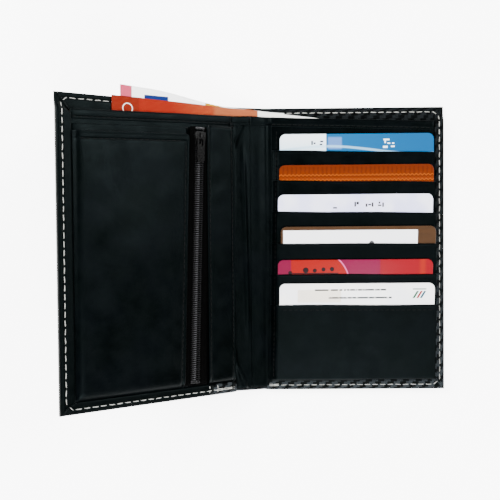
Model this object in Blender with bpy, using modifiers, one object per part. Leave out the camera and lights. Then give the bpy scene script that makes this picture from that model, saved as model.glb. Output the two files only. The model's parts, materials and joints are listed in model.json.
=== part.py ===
"""Bifold wallet, lying open on its right half with the left half part-raised.

World frame: metres, +Z up, the folds along Y, the origin at the centre of the right half's
outer face, which lies on z = 0. Lengths below count from the apex, the line where the two
halves' inner planes would meet without the spine strip between them.
Each half is built as it lies when opened flat. The spine and the left half hang on empties
on their fold lines, and the empties' angles set the stored pose.
"""
import math

import bpy
import bmesh
from mathutils import Matrix, Vector

MM = 0.001

# ---- driving dimensions (millimetres and degrees) --------------------------------------
HEIGHT = 158.6            # wallet along the fold
HALF_WIDTH = 109.5        # apex of the fold to a half's outer edge
SPINE_WIDTH = 18.0        # strip between the two fold lines
OPEN_ANGLE = 32.0         # left half above the table in the stored pose

SKIN = 0.8                # cover leatherette
BOARD = 0.5               # cover stiffener
LINING = 0.4              # fabric inside the bill compartment
GAP = 0.2                 # air between neighbouring layers
EDGE_GAP = 0.3            # air between neighbours that meet edge to edge
CORNER = 2.2              # outer corner radius

HEM = 0.6                 # turned-in edge of the skin
HEM_TOP_WIDTH = 8.5
HEM_SIDE_WIDTH = {1: 4.9, -1: 7.2}   # right half and left half
HEM_BOTTOM_WIDTH = 5.9

PANEL = 0.4               # interior panels
FOLDED = 0.55              # a panel with its edge folded under
PANEL_H = 1.35            # underside of an interior panel over the lining
INTERIOR_TOP = (74.0, 71.4)   # interior's top edge at the fold and at the outer edge
BINDING_WIDTH = 5.0
BINDING_EXTRA = 0.2       # how far the binding stands proud of its panel, each side

CARD = (85.6, 54.0, 0.76)     # ID-1 card
CARD_CORNER = 3.18
CARD_COUNT = 6
POCKET = 0.35             # one card pocket's strip
CARD_AIR = 0.15           # air above and below a card
SLOT_TOP = 54.3           # lip of the first card pocket
SLOT_PITCH = 17.05
CARD_LEFT = (17.7, 17.2, 16.4, 17.8, 16.0, 16.8)       # where each card's left edge sits
CARD_SHOWS = (9.9, 9.6, 10.2, 9.5, 8.2, 12.1)          # how far each card stands out
CARD_TILT = (1.0, 2.4, 3.4, 4.2, 4.6, 4.8)             # degrees: each lies on the one before
POCKET_LEFT = (12.2, 0.02)    # folded left edge of the pockets: x at mid height, and lean
POCKET_RIGHT = 104.2
POCKET_DEPTH = 1.2        # pocket's strip below its card
POCKET_LAST_DEPTH = 0.5   # the same on the lowest pocket

ZIP_U = 34.6              # closed zip's middle from the apex, at mid height
ZIP_LEAN = 1.9            # degrees, top nearer the fold
ZIP_TOP = 66.5
ZIP_BOTTOM = -72.0
TAPE_WIDTH = 8.0
TAPE = 0.4
COIL_WIDTH = 2.3
COIL_SPLIT = 0.9          # channel between the two coils, where the slider's post runs
COIL_H = (2.8, 4.1)       # underside and top of the coils
TAPE_H = 3.25
SLIDER_AT = 59.8          # slider's middle along the zip
SLIDER = (6.8, 8.6)       # width and length
PULL = (4.4, 13.0, 0.8)
PULL_H = 5.5              # pull's pivot height

SLIP_OUTER = 102.0        # slip pocket's outer edge
SLIP_INNER = 40.6         # its folded inner edge at mid height
SLIP_TOP = (62.4, 60.6)   # its top edge at the inner and the outer end
STRIP_U = (28.4, 11.6)    # panel between the zip and the fold
ACCENT_U = 24.9           # seam between smooth and textured leatherette
SEAM_ROWS = (22.4, 27.4)  # the seam's two rows of stitching
THREAD_R = 0.22
NOTE = 0.12
NOTE_H = (0.73, 0.95)     # undersides of the two notes

# ---- derived levels ---------------------------------------------------------------------
INNER = SKIN + GAP + BOARD + GAP + LINING         # lining's face, and the fold axes' height
TOP, BOTTOM = HEIGHT / 2, -HEIGHT / 2
FOLD = SPINE_WIDTH / 2 / math.cos(math.radians(OPEN_ANGLE / 2))
CENTRE = (FOLD + EDGE_GAP / 2 + HALF_WIDTH) / 2   # right cover's middle from the apex
CARD_H = PANEL_H + PANEL + BINDING_EXTRA + GAP    # underside of the first card
CARD_PITCH = CARD[2] + POCKET + 2 * CARD_AIR      # from one card to the next, square to them
HEM_H = PANEL_H + PANEL + EDGE_GAP                # underside of a side or bottom hem
TOP_HEM_H = -LINING                               # the top hem lies on the board

COLOURS = {
    "smooth_leatherette": ((0.018, 0.020, 0.023), 0.45, 0.0),
    "textured_leatherette": ((0.030, 0.030, 0.032), 0.38, 0.0),
    "interior_leatherette": ((0.010, 0.013, 0.017), 0.5, 0.0),
    "board": ((0.35, 0.33, 0.30), 0.8, 0.0),
    "lining_fabric": ((0.012, 0.012, 0.014), 0.9, 0.0),
    "white_thread": ((0.80, 0.80, 0.78), 0.7, 0.0),
    "zip_tape": ((0.008, 0.008, 0.009), 0.9, 0.0),
    "zip_coil": ((0.015, 0.015, 0.016), 0.4, 0.0),
    "zip_metal": ((0.02, 0.02, 0.02), 0.25, 1.0),
    "card_plastic": ((0.75, 0.76, 0.80), 0.3, 0.0),
    "note_paper": ((0.70, 0.25, 0.16), 0.8, 0.0),
}


# ---- helpers ----------------------------------------------------------------------------
def clear_scene():
    for old in list(bpy.data.objects):
        bpy.data.objects.remove(old, do_unlink=True)


def new_collection(name):
    collection = bpy.data.collections.new(name)
    bpy.context.scene.collection.children.link(collection)
    return collection


def material(name):
    found = bpy.data.materials.get(name)
    if found:
        return found
    colour, roughness, metallic = COLOURS[name]
    found = bpy.data.materials.new(name)
    found.use_nodes = True
    shader = found.node_tree.nodes["Principled BSDF"]
    shader.inputs["Base Color"].default_value = (*colour, 1)
    shader.inputs["Roughness"].default_value = roughness
    shader.inputs["Metallic"].default_value = metallic
    found.diffuse_color = (*colour, 1)
    return found


def place(obj, name, finish, parent):
    """Name an object, give it its own material and hang it on its body's empty."""
    obj.name = obj.data.name = name
    own = material(finish).copy()
    own.name = f"{name}_{finish}"[:60]
    obj.data.materials.clear()
    obj.data.materials.append(own)
    for user in list(obj.users_collection):
        user.objects.unlink(obj)
    PARTS.objects.link(obj)
    obj.parent = parent
    return obj


def rounded(points):
    """An outline from (x, y) or (x, y, radius) corners, anticlockwise, in millimetres."""
    steps = 5
    out = []
    for k, corner in enumerate(points):
        here = Vector(corner[:2])
        if len(corner) == 2:
            out.append(here)
            continue
        before = (Vector(points[k - 1][:2]) - here).normalized()
        after = (Vector(points[(k + 1) % len(points)][:2]) - here).normalized()
        half = before.angle(after) / 2
        reach = corner[2] / math.tan(half)
        centre = here + (before + after).normalized() * corner[2] / math.sin(half)
        first = (here + before * reach - centre)
        last = (here + after * reach - centre)
        turn = first.angle_signed(last)
        for step in range(steps + 1):
            a = -turn * step / steps
            out.append(centre + Matrix.Rotation(a, 2) @ first)
    return out


def plate(name, finish, parent, points, low, thick, holes=()):
    """A flat sheet from its outline, lying from low to low + thick over the table."""
    curve = bpy.data.curves.new(name, "CURVE")
    curve.dimensions = "2D"
    curve.fill_mode = "BOTH"
    curve.extrude = thick / 2 * MM
    for ring in (rounded(points), *[rounded(h) for h in holes]):
        spline = curve.splines.new("POLY")
        spline.points.add(len(ring) - 1)
        spline.use_cyclic_u = True
        for point, place_at in zip(spline.points, ring):
            point.co = (place_at.x * MM, place_at.y * MM, 0, 1)
    obj = bpy.data.objects.new(name, curve)
    obj.location = (0, 0, (low + thick / 2) * MM)
    return place(obj, name, finish, parent)


def profile_bar(name, finish, parent, section, start, end):
    """A bar of constant section, whose corners are (across, up) with across = up x along."""
    curve = bpy.data.curves.new(name, "CURVE")
    curve.dimensions = "2D"
    curve.fill_mode = "BOTH"
    start, end = Vector(start) * MM, Vector(end) * MM
    curve.extrude = (end - start).length / 2
    spline = curve.splines.new("POLY")
    spline.points.add(len(section) - 1)
    spline.use_cyclic_u = True
    for point, (across, up) in zip(spline.points, section):
        point.co = (across * MM, up * MM, 0, 1)
    obj = bpy.data.objects.new(name, curve)
    along = (end - start).normalized()
    up = Vector((0, 0, 1))
    frame = Matrix((up.cross(along), up, along)).transposed().to_4x4()
    obj.matrix_basis = Matrix.Translation((start + end) / 2) @ frame
    return place(obj, name, finish, parent)


def thread(name, parent, runs, radius=THREAD_R):
    """One thread along a list of (x, y, z) points in millimetres."""
    curve = bpy.data.curves.new(name, "CURVE")
    curve.dimensions = "3D"
    curve.bevel_depth = radius * MM
    curve.bevel_resolution = 1
    curve.use_fill_caps = True
    spline = curve.splines.new("POLY")
    spline.points.add(len(runs) - 1)
    for point, at in zip(spline.points, runs):
        point.co = (at[0] * MM, at[1] * MM, at[2] * MM, 1)
    return place(bpy.data.objects.new(name, curve), name, "white_thread", parent)


def block(low, high):
    """A closed box mesh between two corners, in millimetres."""
    mesh = bmesh.new()
    bmesh.ops.create_cube(mesh, size=1)
    size = Vector(high) - Vector(low)
    centre = (Vector(high) + Vector(low)) / 2
    bmesh.ops.transform(mesh, matrix=Matrix.Translation(centre * MM)
                        @ Matrix.Diagonal((*(size * MM), 1)), verts=mesh.verts)
    data = bpy.data.meshes.new("block")
    mesh.to_mesh(data)
    mesh.free()
    return data


def cutter(low, high, parent):
    obj = bpy.data.objects.new("cutter", block(low, high))
    CUTTERS.objects.link(obj)
    obj.parent = parent
    obj.hide_render = True
    obj.display_type = "WIRE"
    return obj


def boolean(obj, other, operation):
    cut = obj.modifiers.new(operation.lower(), "BOOLEAN")
    cut.operation = operation
    cut.solver = "EXACT"
    cut.object = other


def rectangle(x0, y0, x1, y1, radii=(0, 0, 0, 0)):
    """Corners from the lower left, anticlockwise, each rounded where its radius says."""
    corners = ((x0, y0), (x1, y0), (x1, y1), (x0, y1))
    return [(*c, r) if r else c for c, r in zip(corners, radii)]


def empty(name, location, parent=None, turn=0.0, axis="Y"):
    """A body's frame: an empty on its joint's axis."""
    obj = bpy.data.objects.new(name, None)
    PARTS.objects.link(obj)
    obj.parent = parent
    matrix = Matrix.Translation(Vector(location) * MM)
    obj.matrix_basis = matrix @ Matrix.Rotation(math.radians(turn), 4, axis)
    return obj


def interior_top(x, fold):
    """Height of the interior's top edge at a distance from the apex."""
    share = (x - fold) / (HALF_WIDTH - fold)
    return INTERIOR_TOP[0] + share * (INTERIOR_TOP[1] - INTERIOR_TOP[0])


# ---- the two halves' shared layers ---------------------------------------------------------
def half_outline(side, inset, fold_inset, top=TOP, bottom=BOTTOM, corner=CORNER):
    """A half's outline in its flat frame: side is +1 for the right half and -1 for the left."""
    x0, x1 = FOLD + fold_inset, HALF_WIDTH - inset
    if side > 0:
        return rectangle(x0, bottom, x1, top, (0, corner, corner, 0))
    return rectangle(-x1, bottom, -x0, top, (corner, 0, 0, corner))


def moved(points, dx):
    return [(p[0] + dx, *p[1:]) for p in points]


def cover_layers(side, label, parent, shift):
    """Board and bill-compartment lining, which the skin's turned edges wrap."""
    inset = SKIN + EDGE_GAP
    board = half_outline(side, inset, EDGE_GAP / 2, TOP - inset, BOTTOM + inset, 1.5)
    plate(f"{label}_cover_board", "board", parent, moved(board, shift), SKIN + GAP, BOARD)
    lining_top = TOP - HEM_TOP_WIDTH - EDGE_GAP
    lining = half_outline(side, inset, EDGE_GAP / 2, lining_top, BOTTOM + inset, 1.5)
    plate(f"{label}_cover_lining", "lining_fabric", parent, moved(lining, shift),
          INNER - LINING, LINING)


def hem_section(toward, width, low):
    """L section: the skin's wrap around the edge, and its flange over the layers inside.

    The edge is at 0 and the flange runs to +width or -width, as toward is 1 or -1.
    """
    base, flange = SKIN + GAP, INNER + low
    corners = [(0, base), (SKIN, base), (SKIN, flange), (width, flange),
               (width, flange + HEM), (0, flange + HEM)]
    if toward < 0:
        corners = [(-x, z) for x, z in reversed(corners)]
    return corners


def side_hem(name, finish, parent, side, x_edge, y0, y1):
    """Turned edge down a half's outer side."""
    section = hem_section(side, HEM_SIDE_WIDTH[side], HEM_H)
    return profile_bar(name, finish, parent, section, (x_edge, y0, 0), (x_edge, y1, 0))


def cross_hem(name, finish, parent, x0, x1, y_edge, width, low):
    """Turned edge along the top (y_edge > 0) or the bottom of a stretch from x0 to x1."""
    section = hem_section(-1 if y_edge > 0 else 1, width, low)
    return profile_bar(name, finish, parent, section, (x0, y_edge, 0), (x1, y_edge, 0))


def interior_panel(side, label, parent, shift):
    """Partition that closes the bill compartment, with a folded binding along its top."""
    fold, far = FOLD + EDGE_GAP, HALF_WIDTH - SKIN - EDGE_GAP
    low_y = BOTTOM + SKIN + EDGE_GAP

    def at(x, y):
        return (side * x + shift, y)

    def edge(x, drop):
        return at(x, interior_top(x, FOLD) - drop)

    panel_top = BINDING_WIDTH + EDGE_GAP
    outline = [at(fold, low_y), at(far, low_y), edge(far, panel_top), edge(fold, panel_top)]
    binding = [edge(fold, BINDING_WIDTH), edge(far, BINDING_WIDTH), edge(far, 0), edge(fold, 0)]
    if side < 0:
        outline.reverse()
        binding.reverse()
    plate(f"{label}_interior_panel", "interior_leatherette", parent, outline,
          INNER + PANEL_H, PANEL)
    plate(f"{label}_top_binding", "interior_leatherette", parent, binding,
          INNER + PANEL_H - BINDING_EXTRA, PANEL + 2 * BINDING_EXTRA)


# ---- right half ----------------------------------------------------------------------------
def right_half(parent):
    plate("right_cover", "textured_leatherette", parent,
          half_outline(1, 0, EDGE_GAP / 2), 0, SKIN)
    cover_layers(1, "right", parent, 0)
    start = FOLD + EDGE_GAP / 2
    cross_hem("right_hem_top", "textured_leatherette", parent, start, HALF_WIDTH,
              TOP, HEM_TOP_WIDTH, TOP_HEM_H)
    side_hem("right_hem_side", "textured_leatherette", parent, 1, HALF_WIDTH,
             BOTTOM, TOP - HEM_TOP_WIDTH - EDGE_GAP)
    cross_hem("right_hem_bottom", "textured_leatherette", parent, start,
              HALF_WIDTH - HEM_SIDE_WIDTH[1] - EDGE_GAP, BOTTOM, HEM_BOTTOM_WIDTH, HEM_H)
    interior_panel(1, "right", parent, 0)
    card_slots(parent)
    hem_thread("right_hem_thread", parent, 1, 0, FOLD + 1.5)


def slot_lip(k):
    return SLOT_TOP - k * SLOT_PITCH


def card_foot(k):
    """Where card k's lower edge lies: its Y, and its underside's height over the lining."""
    tilts = [math.radians(t) for t in CARD_TILT]
    feet = [slot_lip(n) + CARD_SHOWS[n] - CARD[1] * math.cos(tilts[n]) for n in range(k + 1)]
    rise = CARD_H
    for n in range(1, k + 1):
        overlap = feet[n - 1] - POCKET_DEPTH - feet[n]
        rise += CARD_PITCH - overlap * math.tan(tilts[n])
    return feet[k], rise


def card_slots(parent):
    """Six cards, each tilted on the one before, and the strip that holds each one down."""
    for k in range(CARD_COUNT):
        foot, rise = card_foot(k)
        tilt = math.radians(CARD_TILT[k])
        middle = CARD_LEFT[k] + CARD[0] / 2
        frame = empty(f"card_{k + 1}_axis", (middle, foot, INNER + rise), parent,
                      CARD_TILT[k], "X")
        card = rectangle(-CARD[0] / 2, 0, CARD[0] / 2, CARD[1], (CARD_CORNER,) * 4)
        plate(f"card_{k + 1}", "card_plastic", frame, card, 0, CARD[2])

        def edge(y):
            return POCKET_LEFT[0] + POCKET_LEFT[1] * (foot + y) - middle

        low = -(POCKET_DEPTH if k < CARD_COUNT - 1 else POCKET_LAST_DEPTH)
        lip = (slot_lip(k) - foot) / math.cos(tilt)
        right = POCKET_RIGHT - middle
        strip = [(edge(low), low), (right, low), (right, lip), (edge(lip), lip)]
        plate(f"card_pocket_{k + 1}", "interior_leatherette", frame, strip,
              CARD[2] + CARD_AIR, POCKET)


def hem_thread(name, parent, side, shift, start):
    """White topstitch along the bottom, outer side and top of a half."""
    inset, rise = 2.9, THREAD_R + 0.05
    high = INNER + HEM_H + HEM + rise
    low = INNER + TOP_HEM_H + HEM + rise
    far = HALF_WIDTH - inset
    step = TOP - HEM_TOP_WIDTH - EDGE_GAP
    points = [(start, BOTTOM + inset, high), (far - 1.5, BOTTOM + inset, high),
              (far, BOTTOM + inset + 1.5, high), (far, step + 0.4, high),
              (far, step + 2.4, low), (far, TOP - inset - 1.5, low),
              (far - 1.5, TOP - inset, low), (start, TOP - inset, low)]
    thread(name, parent, [(side * x + shift, y, z) for x, y, z in points])


# ---- spine ---------------------------------------------------------------------------------
def spine(parent):
    """Strip between the fold lines. Its frame sits on the right fold line, X towards it."""
    x0, x1 = -SPINE_WIDTH + EDGE_GAP / 2, -EDGE_GAP / 2
    plate("spine_cover", "textured_leatherette", parent,
          rectangle(x0, BOTTOM, x1, TOP), -INNER, SKIN)
    hem_low = SKIN + GAP - INNER
    plate("spine_hem_top", "textured_leatherette", parent,
          rectangle(x0, TOP - HEM_TOP_WIDTH, x1, TOP), hem_low, HEM)
    plate("spine_hem_bottom", "textured_leatherette", parent,
          rectangle(x0, BOTTOM, x1, BOTTOM + HEM_TOP_WIDTH), hem_low, HEM)
    edge = HEM_TOP_WIDTH + EDGE_GAP
    plate("spine_lining", "lining_fabric", parent,
          rectangle(x0, BOTTOM + edge, x1, TOP - edge), -LINING, LINING)
    plate("spine_gusset", "interior_leatherette", parent,
          rectangle(x0 + 0.4, BOTTOM + 1.5, x1 - 0.4, INTERIOR_TOP[0]), PANEL_H, PANEL)


# ---- left half -----------------------------------------------------------------------------
def left_half(parent):
    """Built in its flat frame: the left fold line at x = 0, the outer edge towards -X."""
    shift = FOLD
    low = -INNER
    frame = empty("left_flat_frame", (0, 0, low), parent)
    seam = ACCENT_U
    smooth = rectangle(-HALF_WIDTH, BOTTOM, -seam - EDGE_GAP / 2, TOP, (CORNER, 0, 0, CORNER))
    accent = rectangle(-seam + EDGE_GAP / 2, BOTTOM, -FOLD - EDGE_GAP / 2, TOP)
    plate("left_cover", "smooth_leatherette", frame, moved(smooth, shift), 0, SKIN)
    plate("left_cover_accent", "textured_leatherette", frame, moved(accent, shift), 0, SKIN)
    cover_layers(-1, "left", frame, shift)
    left_hems(frame, shift, seam)
    interior_panel(-1, "left", frame, shift)
    hem_thread("left_hem_thread", frame, -1, shift, FOLD + 1.5)
    seam_threads(frame, shift)
    slip_pocket(frame, shift)
    zip_frame = empty("zip_axis", (shift - ZIP_U, 0, INNER), frame, -ZIP_LEAN, "Z")
    zip_chain(zip_frame)
    slider = empty("zip_slider_axis", (0, SLIDER_AT, 0), zip_frame)
    zip_slider(slider)
    pull = empty("zip_pull_axis", (0, 0.5, PULL_H), slider)
    zip_pull(pull)


def left_hems(frame, shift, seam):
    """Turned edges, smooth away from the fold and textured next to it."""
    far, fold = shift - HALF_WIDTH, shift - FOLD - EDGE_GAP / 2
    split = (shift - seam - EDGE_GAP / 2, shift - seam + EDGE_GAP / 2)
    inner = far + HEM_SIDE_WIDTH[-1] + EDGE_GAP
    for label, y_edge, width, low, x0 in (
            ("top", TOP, HEM_TOP_WIDTH, TOP_HEM_H, far),
            ("bottom", BOTTOM, HEM_BOTTOM_WIDTH, HEM_H, inner)):
        cross_hem(f"left_hem_{label}", "smooth_leatherette", frame, x0, split[0],
                  y_edge, width, low)
        cross_hem(f"left_hem_{label}_accent", "textured_leatherette", frame, split[1], fold,
                  y_edge, width, low)
    side_hem("left_hem_side", "smooth_leatherette", frame, -1, far, BOTTOM,
             TOP - HEM_TOP_WIDTH - EDGE_GAP)


def seam_threads(frame, shift):
    """Two rows that join the smooth and the textured skin, where they cross the bottom hem."""
    high = INNER + HEM_H + HEM + 3 * THREAD_R + 0.1
    for k, u in enumerate(SEAM_ROWS):
        thread(f"seam_thread_{k + 1}", frame,
               [(shift - u, BOTTOM + 0.6, high), (shift - u, BOTTOM + HEM_BOTTOM_WIDTH, high)])


def slip_pocket(frame, shift):
    """Big open pocket outside the zip, and the strip between the zip and the fold."""
    lean = math.tan(math.radians(ZIP_LEAN))
    bottom = BOTTOM + SKIN + EDGE_GAP
    base = INNER + PANEL_H + PANEL + GAP
    backing_top = 65.6

    def u_at(u, y):
        return (shift - u + lean * y, y)

    far = shift - SLIP_OUTER
    lower = bottom + HEM_BOTTOM_WIDTH
    backing_u = SLIP_INNER + 1.2
    plate("zip_pocket_front", "interior_leatherette", frame,
          [(far, lower), u_at(backing_u, lower), u_at(backing_u, backing_top),
           (far, backing_top - 1.8)], base, PANEL)
    plate("slip_pocket_panel", "interior_leatherette", frame,
          [(far, lower), u_at(SLIP_INNER, lower),
           (*u_at(SLIP_INNER, SLIP_TOP[0]), 3.5), (far, SLIP_TOP[1])],
          INNER + TAPE_H + TAPE + GAP, FOLDED)
    plate("zip_side_strip", "interior_leatherette", frame,
          [u_at(STRIP_U[0], lower), (shift - STRIP_U[1], lower),
           (shift - STRIP_U[1], 67.0), u_at(STRIP_U[0], 66.4)],
          INNER + TAPE_H + TAPE + GAP, FOLDED)


def zip_chain(frame):
    """Tapes, coils and stops. The frame's Y runs up the zip, and z = 0 is the lining's face."""
    inner = COIL_SPLIT / 2
    for label, side in (("outer", -1), ("inner", 1)):
        near, far = side * (inner + COIL_WIDTH + EDGE_GAP), side * (inner + TAPE_WIDTH)
        plate(f"zip_tape_{label}", "zip_tape", frame,
              rectangle(min(near, far), ZIP_BOTTOM, max(near, far), ZIP_TOP), TAPE_H, TAPE)
        near, far = side * inner, side * (inner + COIL_WIDTH)
        plate(f"zip_coil_{label}", "zip_coil", frame,
              rectangle(min(near, far), ZIP_BOTTOM + 3, max(near, far), ZIP_TOP - 2),
              COIL_H[0], COIL_H[1] - COIL_H[0])
    stop = inner + COIL_WIDTH
    for label, y in (("top", ZIP_TOP - 1.5), ("bottom", ZIP_BOTTOM + 1.0)):
        plate(f"zip_{label}_stop", "zip_metal", frame,
              rectangle(-stop, y, stop, y + 1.5, (0.4,) * 4),
              COIL_H[0], COIL_H[1] - COIL_H[0] + 0.2)


def zip_slider(frame):
    """Body with its two plates, the post between the coils, and the bridge for the pull."""
    half_width, half_length = SLIDER[0] / 2, SLIDER[1] / 2
    wall = 0.55
    low, high = COIL_H[0] - GAP - wall, COIL_H[1] + GAP
    body = bpy.data.objects.new("zip_slider", block((-half_width, -half_length, low),
                                                    (half_width, half_length, high + wall)))
    place(body, "zip_slider", "zip_metal", frame)
    reach = COIL_WIDTH + COIL_SPLIT / 2 + 0.15
    post = COIL_SPLIT / 2 - 0.2
    for side in (-1, 1):
        near, far = side * post, side * reach
        channel = cutter((min(near, far), -half_length - 1, COIL_H[0] - GAP),
                         (max(near, far), half_length + 1, high), frame)
        boolean(body, channel, "DIFFERENCE")
        near, far = side * (reach - 1), side * (half_width + 1)
        tape_slot = cutter((min(near, far), -half_length - 1, TAPE_H - 0.15),
                           (max(near, far), half_length + 1, TAPE_H + TAPE + 0.15), frame)
        boolean(body, tape_slot, "DIFFERENCE")
    bridge = bpy.data.objects.new("bridge", block((-0.8, -2.6, high + wall - 0.2),
                                                  (0.8, 3.0, PULL_H + 1.05)))
    CUTTERS.objects.link(bridge)
    bridge.parent = frame
    bridge.hide_render = True
    bridge.display_type = "WIRE"
    under = cutter((-2, -2.0, high + wall - 0.1), (2, 2.4, PULL_H + 0.65), frame)
    boolean(bridge, under, "DIFFERENCE")
    boolean(body, bridge, "UNION")


def zip_pull(frame):
    """Flat tab that turns on the bridge: its frame is on that axis, the tab towards -Y."""
    half, length, thick = PULL[0] / 2, PULL[1], PULL[2]
    bar = 0.4
    outline = rectangle(-half, -length, half, bar, (1.6, 1.6, 0.8, 0.8))
    eye = rectangle(-1.15, -4.4, 1.15, -bar)
    plate("zip_pull", "zip_metal", frame, outline, -thick / 2, thick, holes=(eye,))


# ---- notes ---------------------------------------------------------------------------------
def note(name, root, low, left, right, bottom, tops):
    """A banknote-sized sheet that lies askew inside the cover and bends with it at both folds.
    tops are its upper edge's places at the left end, the two folds and the right end."""
    lift = low + NOTE / 2
    half = math.radians(OPEN_ANGLE / 2)

    def over(x, z, tilt, rise):
        return (x + rise * math.sin(tilt), z + rise * math.cos(tilt))

    fold_x, fold_z = FOLD - SPINE_WIDTH * math.cos(half), INNER + SPINE_WIDTH * math.sin(half)
    mitre = lift / math.cos(half / 2)
    stations = (
        over(-left * math.cos(2 * half), INNER + left * math.sin(2 * half), 2 * half, lift),
        over(fold_x, fold_z, 1.5 * half, mitre),
        over(FOLD, INNER, 0.5 * half, mitre),
        (right, INNER + lift),
    )
    mesh = bmesh.new()
    rows = [[mesh.verts.new((x * MM, y * MM, z * MM)) for (x, z), y in zip(stations, edge)]
            for edge in ((bottom,) * len(stations), tops)]
    for k in range(len(stations) - 1):
        mesh.faces.new((rows[0][k], rows[0][k + 1], rows[1][k + 1], rows[1][k]))
    data = bpy.data.meshes.new(name)
    mesh.to_mesh(data)
    mesh.free()
    obj = place(bpy.data.objects.new(name, data), name, "note_paper", root)
    solid = obj.modifiers.new("paper", "SOLIDIFY")
    solid.thickness = NOTE * MM
    solid.offset = 0
    solid.use_even_offset = True


# ---- the wallet ----------------------------------------------------------------------------
clear_scene()
PARTS = new_collection("bifold_wallet")
CUTTERS = new_collection("cutters")

root = empty("right_half_frame", (-CENTRE, 0, 0))
right_half(root)
spine_axis = empty("right_fold_axis", (FOLD, 0, INNER), root, OPEN_ANGLE / 2)
spine(spine_axis)
left_axis = empty("left_fold_axis", (-SPINE_WIDTH, 0, 0), spine_axis, OPEN_ANGLE / 2)
left_half(left_axis)
note("note_back", root, NOTE_H[0], 76.1, 38.0, 12.0, (85.6, 78.7, 77.8, 74.0))
note("note_front", root, NOTE_H[1], 80.5, 42.0, 12.0, (79.8, 78.4, 78.0, 73.2))
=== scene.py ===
"""Looks of the bifold wallet: leatherette, stitching, cards, notes and zip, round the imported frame."""
import json
import math

import bmesh
import bpy
from mathutils import Matrix, Vector, noise


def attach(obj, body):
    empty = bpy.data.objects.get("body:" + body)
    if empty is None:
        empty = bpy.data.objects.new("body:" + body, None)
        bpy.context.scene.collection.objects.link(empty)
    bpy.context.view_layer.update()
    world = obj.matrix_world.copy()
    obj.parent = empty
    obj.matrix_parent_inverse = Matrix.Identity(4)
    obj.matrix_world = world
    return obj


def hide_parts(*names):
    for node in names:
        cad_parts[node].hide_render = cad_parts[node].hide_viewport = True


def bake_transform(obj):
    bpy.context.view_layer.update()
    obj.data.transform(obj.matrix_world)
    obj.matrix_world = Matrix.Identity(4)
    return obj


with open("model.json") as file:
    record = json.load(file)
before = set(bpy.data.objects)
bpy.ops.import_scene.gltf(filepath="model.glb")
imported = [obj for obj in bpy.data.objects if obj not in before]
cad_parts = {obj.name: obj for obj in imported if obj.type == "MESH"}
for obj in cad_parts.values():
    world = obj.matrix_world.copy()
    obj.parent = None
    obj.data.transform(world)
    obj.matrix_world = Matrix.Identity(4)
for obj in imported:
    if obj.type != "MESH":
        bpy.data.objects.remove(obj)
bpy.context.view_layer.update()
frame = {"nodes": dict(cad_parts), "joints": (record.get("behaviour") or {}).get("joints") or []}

MM = 0.001

# The wallet in millimetres: across is measured from the spine's middle, along to the open top,
# and height from the lining's face. The last two are the same on both halves and the spine.
HALF_SPINE = 9.0
BEND = 2.5                # each fold bends this far on both sides of its line
APEX = 0.3627             # distances from the fold's apex are this much more than those across
TOP, BOTTOM = 79.3, -79.3
EDGE = 109.5 - APEX       # outer edge of both halves
SEAM = 24.9 - APEX        # where the left cover changes from textured to smooth
COVER = -2.1              # outer face
HEM_TOP = 2.65            # upper face of a side or bottom hem
TOP_HEM_TOP = 0.2         # upper face of the top hem
HEM_WIDTH = {1: 5.4, -1: 7.5}
HEM_BOTTOM, HEM_HEAD = 6.2, 8.5
SKIN = 0.6
STITCH_IN = 2.9           # white stitching, in from the edge
PITCH = 4.3
CORNER = 1.7              # radius of the cover's corners
SIDE_ZONE, END_ZONE = 10, 12          # where the path round the edge is drawn in at a corner
HEM_DROP = (71.5, 74.5)   # the side hem falls to the top hem's level between these
ROLL_IN, ROLL_STEPS = 1.7, 10         # the rolled edge begins this far in
FACE_IN = 8.0             # the outer face's middle begins this far in
SLIDER_AT, ZIP_TOP, ZIP_BOTTOM = 59.8, 66.5, -72.0
PULL_H = 5.5              # the pull's pivot, above the lining
COIL_PITCH = 1.15
TURN = 2 * math.pi


# ---- where things are ----------------------------------------------------------------------
joints = {j["name"]: j for j in frame["joints"]}
right_fold, left_fold = (Vector(joints[n]["pos_m"]) for n in ("right_fold", "left_fold"))
spine_tilt = math.atan2(left_fold.z - right_fold.z, right_fold.x - left_fold.x)


def axes(tilt):
    """Directions across and up on a part of the wallet that is raised by tilt."""
    return Vector((math.cos(tilt), 0, -math.sin(tilt))), Vector((math.sin(tilt), 0, math.cos(tilt)))


SIDES = ((1, "right"), (-1, "left"))
FLATS = {"right_half": (right_fold, HALF_SPINE, *axes(0)),
         "spine": ((right_fold + left_fold) / 2, 0, *axes(spine_tilt)),
         "left_half": (left_fold, -HALF_SPINE, *axes(2 * spine_tilt))}


def smooth(t):
    t = min(max(t, 0.0), 1.0)
    return t * t * (3 - 2 * t)


def on_body(body, across, along, height):
    origin, start, outward, up = FLATS[body]
    return origin + (outward * (across - start) + up * height + Vector((0, along, 0))) * MM


def on_wallet(across, along, height):
    """The point in the scene of a point on the wallet, turned smoothly over the folds."""
    point = on_body("spine", across, along, height)
    for side, body in ((1, "right_half"), (-1, "left_half")):
        share = smooth((side * across - HALF_SPINE) / BEND / 2 + 0.5)
        if share > 0:
            point = point.lerp(on_body(body, across, along, height), share)
    return point


def wave(x, y, size, seed=0.0):
    """Smooth noise from -1 to 1, with lumps of about that size."""
    return noise.noise(Vector((x / size, y / size, seed * 7.31)))


def bell(distance, width):
    return math.exp(-(distance / width) ** 2)


def even(start, end, count):
    return [start + (end - start) * k / count for k in range(count + 1)]


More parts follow.
